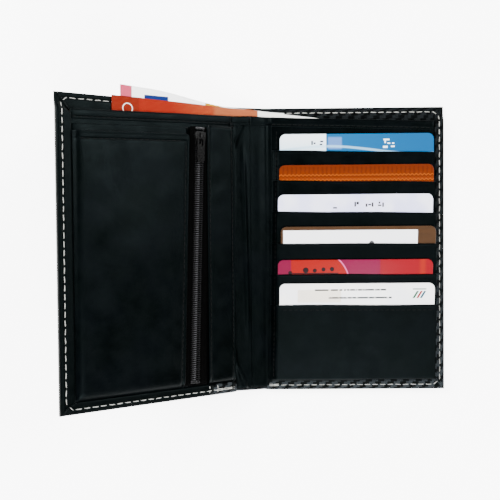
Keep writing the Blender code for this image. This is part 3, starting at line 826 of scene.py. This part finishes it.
edge_stitching("right", 1)
edge_stitching("left", -1)
back_tacks("right", 1, [(10.2, 15.8)])
back_tacks("left", -1, [(11.5, 18.0), (18.4, 22.2)])

for k, across in enumerate((APEX - 22.4, APEX - 27.4)):
    for face, low, high, height, pitch in (
            ("inside", BOTTOM + 1.4, BOTTOM + HEM_BOTTOM - 0.3, HEM_TOP + 0.05, 2.6),
            ("outside", BOTTOM + 0.6, TOP - 0.6, COVER - 0.02, 3.4)):
        white_seam(f"seam_stitch_{k + 1}_{face}", [[(across, low, height), (across, high, height)]],
                   "left_half", f"seam_thread_{k + 1}", pitch=pitch)


# ---- bill compartment ----------------------------------------------------------------------
for side, label in SIDES:
    us = [side * u for u in lines(0, EDGE - 1.4, 2.0)]
    lining = panel(f"{label}_lining_sheet", us, lines(-78, 70.4, 4),
                   lambda u, v: (u, v, 0.02 + 0.05 * wave(u, v, 14, 2)), LINING, 0.35, side=side)
    settle(lining, f"{label}_fold_bend", "lining_fabric", f"{label}_cover_lining",
           *(["spine_lining"] if side > 0 else []))
    board = frame["nodes"][f"{label}_cover_board"].data
    board.materials.clear()
    board.materials.append(BOARD)


def note_sheet(name, left, right, top_at, level, material, slot):
    """A note on both sides of the spine's middle, from its hidden foot to its top edge."""
    foot = 12
    for side, label, end in ((1, "right", right), (-1, "left", left)):
        sheet = panel(f"{name}_{label}_part", [side * u for u in lines(0, end, 1.6)],
                      [0, 0.25, 0.5, 0.75, 0.9, 0.95, 0.98, 1.0],
                      lambda u, v: (u, foot + (top_at(u) - foot) * v,
                                    level + 0.05 * wave(u, foot + (top_at(u) - foot) * v, 12, 4)),
                      material, 0.1, side=side)
        settle(sheet, f"{label}_fold_bend", slot, name)


def front_top(across):
    return 78.2 - 0.125 * across if across > 0 else 78.2 - 0.020 * across


def back_top(across):
    if across > 0:
        return 78.2 - 0.1 * across
    return 78.2 - 0.05 * across + 3.6 * smooth((-across - 15) / 45)


note_sheet("note_front", 80.3, 39.8, front_top, 0.99, note_front_paper(), "note_red")
note_sheet("note_back", 75.7, 20.0, back_top, 0.72, note_back_paper(), "note_pale")


# ---- interior ------------------------------------------------------------------------------
def interior_top(across):
    """Height of the interior's top edge, which falls a little towards both outer edges."""
    return 74.35 - 0.0295 * abs(across)


def binding(name, side, start, end, where, *nodes):
    """Folded strip round the interior's top edge: front face, rolled top, back face."""
    # distance along from the edge, and height
    section = [(-5.1, 1.78), (-5.05, 1.95), (-4.9, 2.05), (-4.6, 2.1), (-4.25, 2.06), (-4.0, 1.9),
               (-3.75, 2.06), (-3.3, 2.12), (-2.2, 2.15), (-1.2, 2.12), (-0.5, 2.0), (-0.15, 1.82),
               (0, 1.6), (-0.05, 1.35), (-0.3, 1.2), (-1.2, 1.12), (-4.8, 1.1)]

    def spot(u, place):
        y, h = section[place]
        puff = 0.12 * wave(u, y, 7, 6) if h > 1.8 else 0
        return u, interior_top(u) + y + 0.12 * wave(u, 0, 18, 8), h + puff

    us = [side * u for u in lines(start, end, 1.5, edge=False)]
    sewn(panel(name, us, range(len(section)), spot, INSIDE, 0.3, side=side), where, *nodes)


for side, label in SIDES:
    base = panel(f"{label}_interior_sheet", [side * u for u in lines(10.5, 108.0, 2.5)],
                 lines(-78.0, 69.4, 3), lambda u, v: (u, v, 1.75 + 0.04 * wave(u, v, 8, 1)),
                 INSIDE, 0.4, side=side)
    sewn(base, f"{label}_half", f"{label}_interior_panel")
    outer_end = EDGE - HEM_WIDTH[side] + (0.16 if side > 0 else 0.36)
    binding(f"{label}_binding", side, 11.6, outer_end, f"{label}_half", f"{label}_top_binding")
    binding(f"{label}_gusset_binding", side, 0, 11.9, f"{label}_fold_bend")
    row = [(side * u, interior_top(u) - 4.0, 2.02) for u in (12.5, 60, 101.5)]
    dark_seam(f"{label}_binding_stitch", [row], f"{label}_half")


def gusset_height(u, v):
    """Soft loose fold between the halves, pulled into ridges on its left."""
    fade = smooth((u + 13.0) / 3.2)
    height = 3.1 + (1.75 - 3.1) * fade
    height += 0.9 * bell(u + 3.0 + 0.02 * v, 1.3) * smooth((60 - abs(v - 5)) / 25)
    height += 0.25 * bell(u - 5.2, 2.2) * smooth((70 - abs(v)) / 20)
    crease = (u + 4.0) * 0.917 - (v - 70.0) * 0.4
    height -= 0.55 * bell(crease, 0.7) * smooth((v - 54) / 5)
    flare = u + 10.5 - smooth((-58 - v) / 20) * 6.5
    height += 1.3 * bell(flare, 1.5) * smooth((-52 - v) / 12)
    height += 0.15 * wave(u, v, 9, 12)
    return height + 0.35 * smooth((u - 9.0) / 2.0)


for side, label in SIDES:
    us = [side * u for u in lines(0, 12.9, 0.45, edge=False)]
    piece = panel(f"{label}_gusset_sheet", us, lines(-77.6, 70.5, 1.6, edge=False),
                  lambda u, v: (u, v, gusset_height(u, v)), INSIDE, 0.4, side=side)
    sewn(piece, f"{label}_fold_bend", *(["spine_gusset"] if side > 0 else []))


# ---- card stack ----------------------------------------------------------------------------
CARD = (85.6, 54.0, 0.76)
# each card's left side, tilt in degrees, and foot: along and height
CARD_LEFT = (17.7, 17.2, 16.4, 17.8, 16.0, 16.8)
CARD_TILT = (1.0, 2.4, 3.4, 4.2, 4.6, 4.8)
CARD_FOOT = ((10.21, 2.15), (-7.10, 2.885), (-23.505, 3.392), (-41.205, 3.590), (-59.526, 3.622),
             (-72.661, 4.030))
# left and right ends of each pocket's lip, and the strips below them
LIP = ((55.4, 53.6), (38.5, 37.1), (21.3, 20.0), (3.5, 3.0), (-13.5, -14.0), (-30.5, -31.0))
STRIP_LEFT, STRIP_RIGHT, STRIP_FLOOR = 12, 104.05, -73.7
LAST = len(LIP) - 1
EDGE_ROW = 2.4            # stitches down the stack's left edge, in from it


def card_mesh(name, k, material):
    """A rounded plastic card with softened edges, in its slot's tilted plane."""
    width, tall, thick = CARD
    radius, soft = 3.18, 0.12
    outline = []
    for cx, cy, start in ((width - radius, radius, -90), (width - radius, tall - radius, 0),
                          (radius, tall - radius, 90), (radius, radius, 180)):
        for angle in map(math.radians, even(start, start + 90, 10)):
            outline.append((cx, cy, math.cos(angle), math.sin(angle)))
    foot_y, foot_h = CARD_FOOT[k]
    tilt = math.radians(CARD_TILT[k])
    points, uvs, faces = [], [], []
    for inset, z in ((soft, 0), (0, soft), (0, thick - soft), (soft, thick)):
        for cx, cy, dx, dy in outline:
            x, y = cx + dx * (radius - inset), cy + dy * (radius - inset)
            uvs.append((x, y))
            points.append(on_body("right_half", CARD_LEFT[k] - APEX + x,
                                  foot_y + y * math.cos(tilt) - z * math.sin(tilt),
                                  foot_h + y * math.sin(tilt) + z * math.cos(tilt)))
    n = len(outline)
    for r in range(3):
        for i in range(n):
            j = (i + 1) % n
            faces.append((r * n + i, r * n + j, (r + 1) * n + j, (r + 1) * n + i))
    faces.append(tuple(range(n - 1, -1, -1)))
    faces.append(tuple(3 * n + i for i in range(n)))
    obj = add_object(name, mesh_from(name, points, uvs, faces), material)
    obj.data.polygons[-1].use_smooth = obj.data.polygons[-2].use_smooth = False
    return obj


for k, make in enumerate((card_blue, card_orange, card_lavender, card_brown, card_magenta, card_white)):
    name = f"card_{k + 1}"
    settle(card_mesh(f"{name}_plastic", k, make()), name, make.__name__, name)


def stack_left(y):
    return 12.2 - APEX + 0.02 * y


def pocket_height(k, across, along):
    """Face of pocket strip k: over its card, tucked down at its sides and at the bottom."""
    foot_y, foot_h = CARD_FOOT[k]
    tilt = math.radians(CARD_TILT[k])
    over = foot_h + (along - foot_y) * math.tan(tilt) + 1.3 / math.cos(tilt)
    left = smooth((across - stack_left(along) - 0.3) / 3.4)
    right = smooth((103.72 - across) / 0.6)
    floor_left, floor_right = 2.15 + 0.36 * k, 1.9 + 0.02 * k
    base = floor_left if across < 60 else floor_right
    height = base + (over - base) * (left if across < 60 else right)
    if k == LAST:
        height = base + (height - base) * smooth((along - STRIP_FLOOR) / 0.9)
    belly = math.sin(math.pi * min(max((across - 14) / 88, 0), 1))
    height += 0.12 * belly * wave(across, along, 16, 20 + k) * left * right
    return height


for k, (lip_left, lip_right) in enumerate(LIP):
    low = STRIP_FLOOR if k == LAST else LIP[k + 1][0] - 8.0

    def spot(u, v, k=k, low=low, lip_left=lip_left, lip_right=lip_right):
        """u runs across from 0 to 1, v from 0 at the bottom to 1 at the lip."""
        lip = lip_left + (lip_right - lip_left) * u + 0.12 * math.sin(u * 9 + k)
        y = low + (lip - low) * v
        left = stack_left(y)
        x = left + (STRIP_RIGHT - APEX - left) * u
        edge = lip - y
        height = pocket_height(k, x, y) + rolled(edge, 0.4) + 0.10 * bell(edge - 0.5, 0.5)
        height += groove(x - left - EDGE_ROW, 0.3, 0.5) * smooth((x - left) / 1.5)
        return x, y, height

    us = shares(STRIP_LEFT, STRIP_RIGHT, 2.4, (STRIP_LEFT + EDGE_ROW, 103.2))
    strip = panel(f"card_pocket_{k + 1}_strip", us, shares(0, lip_left - low, 1.6), spot, INSIDE, 0.34)
    sewn(strip, "right_half", f"card_pocket_{k + 1}")

rows = []
for k, (lip_left, _) in enumerate(LIP):
    low = -71.5 if k == LAST else LIP[k + 1][0] - 0.4
    high = lip_left - 0.5
    spots = [(stack_left(y) + EDGE_ROW, y) for y in (high + (low - high) * t for t in (0, 0.33, 0.66, 1))]
    rows.append([(x, y, pocket_height(k, x, y) - 0.14) for x, y in spots])
rows.append([(stack_left(66) + EDGE_ROW, 66.5, 1.95), (stack_left(56) + EDGE_ROW, 55.9, 1.95)])
dark_seam("stack_edge_stitch", rows, "right_half")
row = [(x, -33.4 - 0.006 * (x - 18), pocket_height(LAST, x, -33.6) + 0.02) for x in (18, 40, 60, 80, 101)]
dark_seam("last_pocket_stitch", [row], "right_half")


# ---- left interior -------------------------------------------------------------------------
def quarter_round(u, v, radius):
    """Moves a point of a square corner onto a round one; u and v are distances to its sides."""
    if u >= radius or v >= radius:
        return u, v
    p, q = (radius - u) / radius, (radius - v) / radius
    scale = max(p, q) / math.hypot(p, q)
    return radius * (1 - p * scale), radius * (1 - q * scale)


BASE = 1.95                           # level of the interior panel under the pockets
SLIP_NEAR, SLIP_FAR = 38.7, 102.1     # inner and outer edge of the slip pocket
SLIP_LOW, SLIP_HIGH = -73.2, 62.4
STRIP_NEAR, STRIP_FAR = 11.5, 28.4    # edges of the strip between the zip and the fold


def slip_edge(y):
    """Inner edge of the slip pocket, which leans with the zip."""
    return SLIP_NEAR - APEX + (58.1 - y) * 4.1 / 130.9


def slip_top(across):
    return SLIP_HIGH - (across - 41.5) * 1.8 / 60


def left_tuck(across, along, level):
    """Lowers a face of the left interior where it goes under the side and bottom hems."""
    side_share = smooth((102.3 - APEX - across) / 3.2)
    low_share = smooth((along + 73.3) / 3.4)
    return BASE + (level - BASE) * min(side_share, low_share)


def slip_spot(u, v):
    far = SLIP_FAR - APEX
    top = slip_top(slip_edge(20) + (far - slip_edge(20)) * u)
    y = SLIP_LOW + (top - SLIP_LOW) * v
    near = slip_edge(y)
    x = near + (far - near) * u
    du, dv = quarter_round(x - near, top - y, 3.2)
    x, y = near + du, top - dv
    edge = min(du, dv)
    height = left_tuck(x, y, 4.4) + rolled(edge, 0.45) + 0.12 * bell(edge - 0.55, 0.5)
    height += groove(dv - 4.0, 0.22, 0.5) * smooth((far - x) / 3) * smooth((du - 1.5) / 1.0)
    height += groove(du - 2.0, 0.26, 0.5) * smooth((dv - 3.5) / 1.0)
    broad = smooth(du / 12) * smooth(dv / 14) * smooth((far - x) / 14) * smooth((y + 73) / 14)
    height += broad * (0.85 * wave(x, y, 34, 30) + 0.35 * wave(x, y, 15, 31) + 0.3)
    return -x, y, height


us = shares(SLIP_NEAR, SLIP_FAR, 1.9, (SLIP_NEAR + 2.0,))
vs = [1 - v for v in shares(0, SLIP_HIGH - SLIP_LOW, 1.9, (4.0,))][::-1]
slip = panel("slip_pocket_sheet", us, vs, slip_spot, INSIDE, 0.5, side=-1)
sewn(slip, "left_half", "slip_pocket_panel")


def front_spot(u, v):
    guess = 39.5 - APEX + (102.3 - 39.5) * u
    y = -72.6 + (65.9 - 0.03 * (guess - 40) + 72.6) * v
    near = 39.5 - APEX - 0.0135 * y
    x = near + (102.3 - APEX - near) * u
    edge = 65.9 - 0.03 * (x - 40) - y
    return -x, y, left_tuck(x, y, 2.4) + rolled(edge, 0.4) + 0.15 * wave(x, y, 10, 33)


vs = [1 - v for v in shares(0, 138.5, 3)][::-1]
front = panel("zip_pocket_front_sheet", even(0, 1, 40), vs, front_spot, INSIDE, 0.4, side=-1)
sewn(front, "left_half", "zip_pocket_front")


def strip_spot(u, v):
    y = -72.9 + (67.6 + 72.9) * v
    near, far = STRIP_NEAR - APEX, STRIP_FAR - APEX
    x = near + (far - near) * u
    du, dv = x - near, far - x
    edge = min(du, dv)
    height = 4.4 + rolled(edge, 0.45) + 0.10 * bell(edge - 0.5, 0.5)
    height += groove(dv - 1.6, 0.26, 0.45) + groove(du - 1.6, 0.26, 0.45)
    height = BASE + (height - BASE) * smooth((y + 73.3) / 3.0)
    height += 0.22 * wave(x, y, 8, 35) * smooth(edge / 2) + 0.25 * wave(x, y, 26, 36) * smooth(edge / 3)
    return -x, y, height


us = shares(STRIP_NEAR, STRIP_FAR, 1.3, (STRIP_NEAR + 1.6, STRIP_FAR - 1.6))
strip = panel("zip_side_strip_sheet", us, even(0, 1, 80), strip_spot, INSIDE, 0.5, side=-1)
sewn(strip, "left_half", "zip_side_strip")

rows = [[(-(102.0 - APEX - 3.4), slip_top(98.0) - 4.0, 4.28), (-60, slip_top(60) - 4.0, 4.45),
         (-(slip_edge(58) + 4.6), slip_top(42.8) - 4.0, 4.28)],
        [(-(slip_edge(57) + 2.0), 56.6, 4.24), (-(slip_edge(0) + 2.0), 0, 4.24),
         (-(slip_edge(-69) + 2.0), -69.5, 4.24)]]
rows += [[(-(u - APEX), 66.0, 4.22), (-(u - APEX), -69.5, 4.22)] for u in (26.8, 13.1)]
dark_seam("left_interior_stitch", rows, "left_half")


# ---- zip -----------------------------------------------------------------------------------
zip_y = -Vector(joints["zip_slide"]["axis"])
zip_z = axes(2 * spine_tilt)[1]
zip_x = zip_y.cross(zip_z).normalized()
zip_origin = on_body("left_half", -(34.6 - APEX), 0, 0)


def on_zip(x, y, h):
    """The zip's own frame: across it, along it, and above the lining."""
    return zip_origin + (zip_x * x + zip_y * y + zip_z * h) * MM


def split(y):
    """How far each coil has moved from the middle, which is only past the slider."""
    return 0.95 * smooth((y - SLIDER_AT + 1.0) / 4.5)


for side, label in ((1, "inner"), (-1, "outer")):
    def spot(u, v, side=side):
        y = ZIP_BOTTOM + (ZIP_TOP - ZIP_BOTTOM) * v
        near = 0.45 + split(y)
        x = near + (6.45 - 0.0135 * y - near) * u
        beads = 0.12 * bell(x - near - 3.2, 0.35)
        return side * x, y, 3.62 + beads + 0.1 * wave(x, y, 9, 40 + side)

    us = [0, 0.02, 0.06, 0.12, 0.2, 0.27, 0.3, 0.33, 0.36, 0.42, 0.6, 0.8, 1.0]
    tape = panel(f"zip_tape_{label}_weave", us, even(0, 1, 90), spot, TAPE, 0.38,
                 to_scene=on_zip, side=side)
    settle(tape, "left_half", "zip_tape", f"zip_tape_{label}")


def rods(name, runs, material, sides=6):
    """Round rods through the points of each run, given as (x, y, height, radius) on the zip."""
    points, uvs, faces = [], [], []
    for run in runs:
        first = len(points)
        for i, (x, y, h, radius) in enumerate(run):
            a, b = run[max(i - 1, 0)], run[min(i + 1, len(run) - 1)]
            ahead = Vector((b[0] - a[0], b[1] - a[1], b[2] - a[2])).normalized()
            level = Vector((0, 0, 1)) if abs(ahead.z) < 0.9 else Vector((0, 1, 0))
            one = ahead.cross(level).normalized()
            two = one.cross(ahead)
            for j in range(sides):
                angle = TURN * j / sides
                p = Vector((x, y, h)) + (one * math.cos(angle) + two * math.sin(angle)) * radius
                points.append(on_zip(*p))
                uvs.append((p.x, p.y))
        faces += tube_faces(first, len(run), sides, flip=True)
    return add_object(name, mesh_from(name, points, uvs, faces), material)


COIL_ENDS = (-68.9, 64.4)
# one turn of a coil, from its tape over the top to the middle: across, along, height, radius
COIL_TURN = ((2.75, -0.16, 3.55, 0.22), (2.55, -0.12, 3.86, 0.27), (1.6, -0.02, 3.94, 0.28),
             (0.5, 0.08, 3.93, 0.3), (-0.25, 0.12, 3.8, 0.37), (-0.5, 0.12, 3.5, 0.27),
             (-0.1, 0.12, 3.1, 0.22))

for side, label in ((1, "inner"), (-1, "outer")):
    runs = []
    for k in range(int((COIL_ENDS[1] - COIL_ENDS[0]) / COIL_PITCH)):
        middle = COIL_ENDS[0] + (k + (0.5 if side > 0 else 0)) * COIL_PITCH
        off = split(middle)
        runs.append([(side * (x + off), middle + y, h, radius) for x, y, h, radius in COIL_TURN])
    # the thread that sews the turns to the tape
    runs.append([(side * (2.05 + split(y)), y, 4.12 + 0.05 * math.sin(y * 5.4), 0.16)
                 for y in even(-69.0, 64.2, 170)])
    coil = rods(f"zip_coil_{label}_teeth", runs, COIL)
    settle(coil, "left_half", "zip_coil", f"zip_coil_{label}")


def slab(name, outline, low, high, material, to_scene, soft, holes=()):
    """A solid between two heights with rounded rims, from an outline and its holes."""
    curve = bpy.data.curves.new(name, "CURVE")
    curve.dimensions, curve.fill_mode = "2D", "BOTH"
    for loop in (outline, *holes):
        spline = curve.splines.new("POLY")
        spline.points.add(len(loop) - 1)
        for point, (x, y) in zip(spline.points, loop):
            point.co = (x, y, 0, 1)
        spline.use_cyclic_u = True
    curve.extrude, curve.bevel_depth, curve.bevel_resolution = (high - low) / 2 - soft, soft, 3
    curve.offset = -soft
    source = bpy.data.objects.new(name + "_curve", curve)
    bpy.context.scene.collection.objects.link(source)
    mesh = bpy.data.meshes.new_from_object(source.evaluated_get(bpy.context.evaluated_depsgraph_get()))
    bpy.data.objects.remove(source)
    bpy.data.curves.remove(curve)
    bm = bmesh.new()
    bm.from_mesh(mesh)
    bmesh.ops.remove_doubles(bm, verts=bm.verts, dist=0.01)
    for vert in bm.verts:
        x, y, z = vert.co
        vert.co = to_scene(x, y, z + (low + high) / 2)
    layer = bm.loops.layers.uv.verify()
    for face in bm.faces:
        for loop in face.loops:
            loop[layer].uv = (loop.vert.co.x * 10, loop.vert.co.y * 10)
    bmesh.ops.recalc_face_normals(bm, faces=bm.faces)
    bm.to_mesh(mesh)
    bm.free()
    obj = add_object(name, mesh, material)
    for polygon in obj.data.polygons:
        polygon.use_smooth = len(polygon.vertices) == 4
    return obj


def round_outline(left, bottom, right, top, radius):
    """Rounded rectangle; radius is one number or one for each corner from bottom left."""
    radii = radius if isinstance(radius, tuple) else (radius,) * 4
    corners = ((left, bottom, 180), (right, bottom, 270), (right, top, 0), (left, top, 90))
    loop = []
    for (x, y, start), r in zip(corners, radii):
        cx, cy = x + (r if x == left else -r), y + (r if y == bottom else -r)
        for angle in map(math.radians, even(start, start + 90, 6)):
            loop.append((cx + r * math.cos(angle), cy + r * math.sin(angle)))
    return loop


def joined(name, pieces):
    """One object from several, without operators."""
    bm = bmesh.new()
    for piece in pieces:
        bm.from_mesh(piece.data)
    mesh = bpy.data.meshes.new(name)
    bm.to_mesh(mesh)
    bm.free()
    material = pieces[0].data.materials[0]
    smooth_flags = [p.use_smooth for piece in pieces for p in piece.data.polygons]
    for piece in pieces:
        bpy.data.objects.remove(piece)
    obj = add_object(name, mesh, material)
    for polygon, flag in zip(obj.data.polygons, smooth_flags):
        polygon.use_smooth = flag
    return obj


def slider_outline(scale=1.0):
    """Shield shape: wide shoulders where the coils part, narrower at the closed end."""
    half = [(0, -4.2), (1.5, -4.15), (2.3, -3.7), (2.5, -2.6), (2.75, -0.8), (3.15, 1.0), (3.35, 2.4),
            (3.1, 3.5), (2.2, 4.15), (1.0, 4.3), (0, 4.1)]
    loop = [(x * scale, y * scale) for x, y in half]
    return loop + [(-x, y) for x, y in reversed(loop[1:-1])]


def on_slider(x, y, h):
    return on_zip(x, y + SLIDER_AT, h)


def slider_slab(label, outline, low, high, soft):
    return slab(f"slider_{label}", outline, low, high, SLIDER, on_slider, soft)


pieces = [slider_slab("top", slider_outline(), 4.2, 4.98, 0.3),
          slider_slab("low", slider_outline(0.97), 2.05, 2.62, 0.2)]
for side in (-1, 1):
    wall = [(side * x, y) for x, y in ((2.62, -3.6), (3.0, -3.4), (3.32, 2.0), (3.1, 3.3), (2.75, 3.2))]
    pieces.append(slider_slab(f"wall_{side}", wall, 3.95, 4.5, 0.12))
pieces.append(slider_slab("post", round_outline(-0.2, 1.4, 0.2, 3.8, 0.18), 2.4, 4.5, 0.1))
arch = [(0, SLIDER_AT + 0.35 - 2.65 * math.cos(angle), 4.75 + 1.38 * abs(math.sin(angle)) ** 0.55, 0.38)
        for angle in even(0, math.pi, 20)]
pieces.append(rods("slider_bridge", [arch], SLIDER, 10))
settle(joined("zip_slider_body", pieces), "zip_slider", "zip_metal", "zip_slider")


def on_pull(x, y, h):
    return on_zip(x, y + SLIDER_AT + 0.5, h + PULL_H)


tab = round_outline(-2.2, -13.0, 2.2, 0.42, (1.7, 1.7, 1.2, 1.2))
eye = round_outline(-1.15, -4.2, 1.15, -0.42, 0.8)[::-1]
pieces = [slab("pull_plate", tab, -0.36, 0.36, TAB, on_pull, 0.16, holes=(eye,)),
          slab("pull_grip", round_outline(-1.45, -11.9, 1.45, -5.4, 1.0), 0.2, 0.5, TAB, on_pull, 0.13)]
for k in range(4):
    y = -11.0 + k * 1.5
    rib = round_outline(-1.1, y, 1.1, y + 0.55, 0.25)
    pieces.append(slab(f"pull_rib_{k}", rib, 0.35, 0.62, TAB, on_pull, 0.1))
settle(joined("zip_pull_tab", pieces), "zip_pull", "zip_metal", "zip_pull")

for label, y in (("top", 65.7), ("bottom", -70.2)):
    clamp = [slab(f"stop_{label}", round_outline(-2.7, y - 0.75, 2.7, y + 0.75, 0.5),
                  2.85, 4.25, STOPS, on_zip, 0.3),
             slab(f"stop_{label}_ridge", round_outline(-2.2, y - 0.3, 2.2, y + 0.3, 0.25),
                  4.1, 4.4, STOPS, on_zip, 0.12)]
    settle(joined(f"zip_{label}_stop_clamp", clamp), "left_half", "zip_metal", f"zip_{label}_stop")


# ---- stage ---------------------------------------------------------------------------------
floor_mesh = bpy.data.meshes.new("floor")
bm = bmesh.new()
bmesh.ops.create_grid(bm, x_segments=1, y_segments=1, size=3)
bm.to_mesh(floor_mesh)
bm.free()
floor_finish = Finish("floor", "F4F4F4", 0.9, 0.1, Emission_Color=(1, 1, 1, 1), Emission_Strength=5.5)
mottle = floor_finish.noise(90, 2, vector=floor_finish.solid)
floor_finish.colour(floor_finish.mix(mottle, "F0F0EF", "F6F6F6"))
floor = add_object("floor", floor_mesh, floor_finish.material, False)
floor.location.z = -0.0006

world = bpy.data.worlds.new("studio")
world.use_nodes = True
background = world.node_tree.nodes["Background"].inputs
background["Color"].default_value = (1, 1, 1, 1)
background["Strength"].default_value = 0.25
bpy.context.scene.world = world


def soft_light(name, place, target, size, power):
    data = bpy.data.lights.new(name, "AREA")
    data.shape, data.size, data.energy = "SQUARE", size, power
    light = bpy.data.objects.new(name, data)
    light.location = place
    light.rotation_euler = (Vector(target) - Vector(place)).to_track_quat("-Z", "Y").to_euler()
    bpy.context.scene.collection.objects.link(light)


soft_light("key", (-0.9, 0.6, 0.9), (-0.05, 0, 0), 0.6, 46)
soft_light("fill", (0.9, 0.5, 0.9), (-0.05, 0, 0), 0.6, 30)
soft_light("front", (0.1, -1.0, 0.9), (-0.05, 0, 0), 0.7, 35)
soft_light("sheen", (0.15, -0.45, 1.2), (-0.05, -0.05, 0), 0.3, 5)

camera_data = bpy.data.cameras.new("camera")
camera_data.sensor_width, camera_data.lens = 36, 52.2
camera = bpy.data.objects.new("camera", camera_data)
camera.location = (-0.05435, 0.01125, 0.4114)
turn = (Matrix.Rotation(math.radians(0.479), 3, "Z") @ Matrix.Rotation(math.radians(-0.645), 3, "Y")
        @ Matrix.Rotation(math.radians(1.6), 3, "X"))
camera.rotation_euler = turn.transposed().to_euler()
bpy.context.scene.collection.objects.link(camera)
bpy.context.scene.camera = camera

bpy.context.view_layer.update()
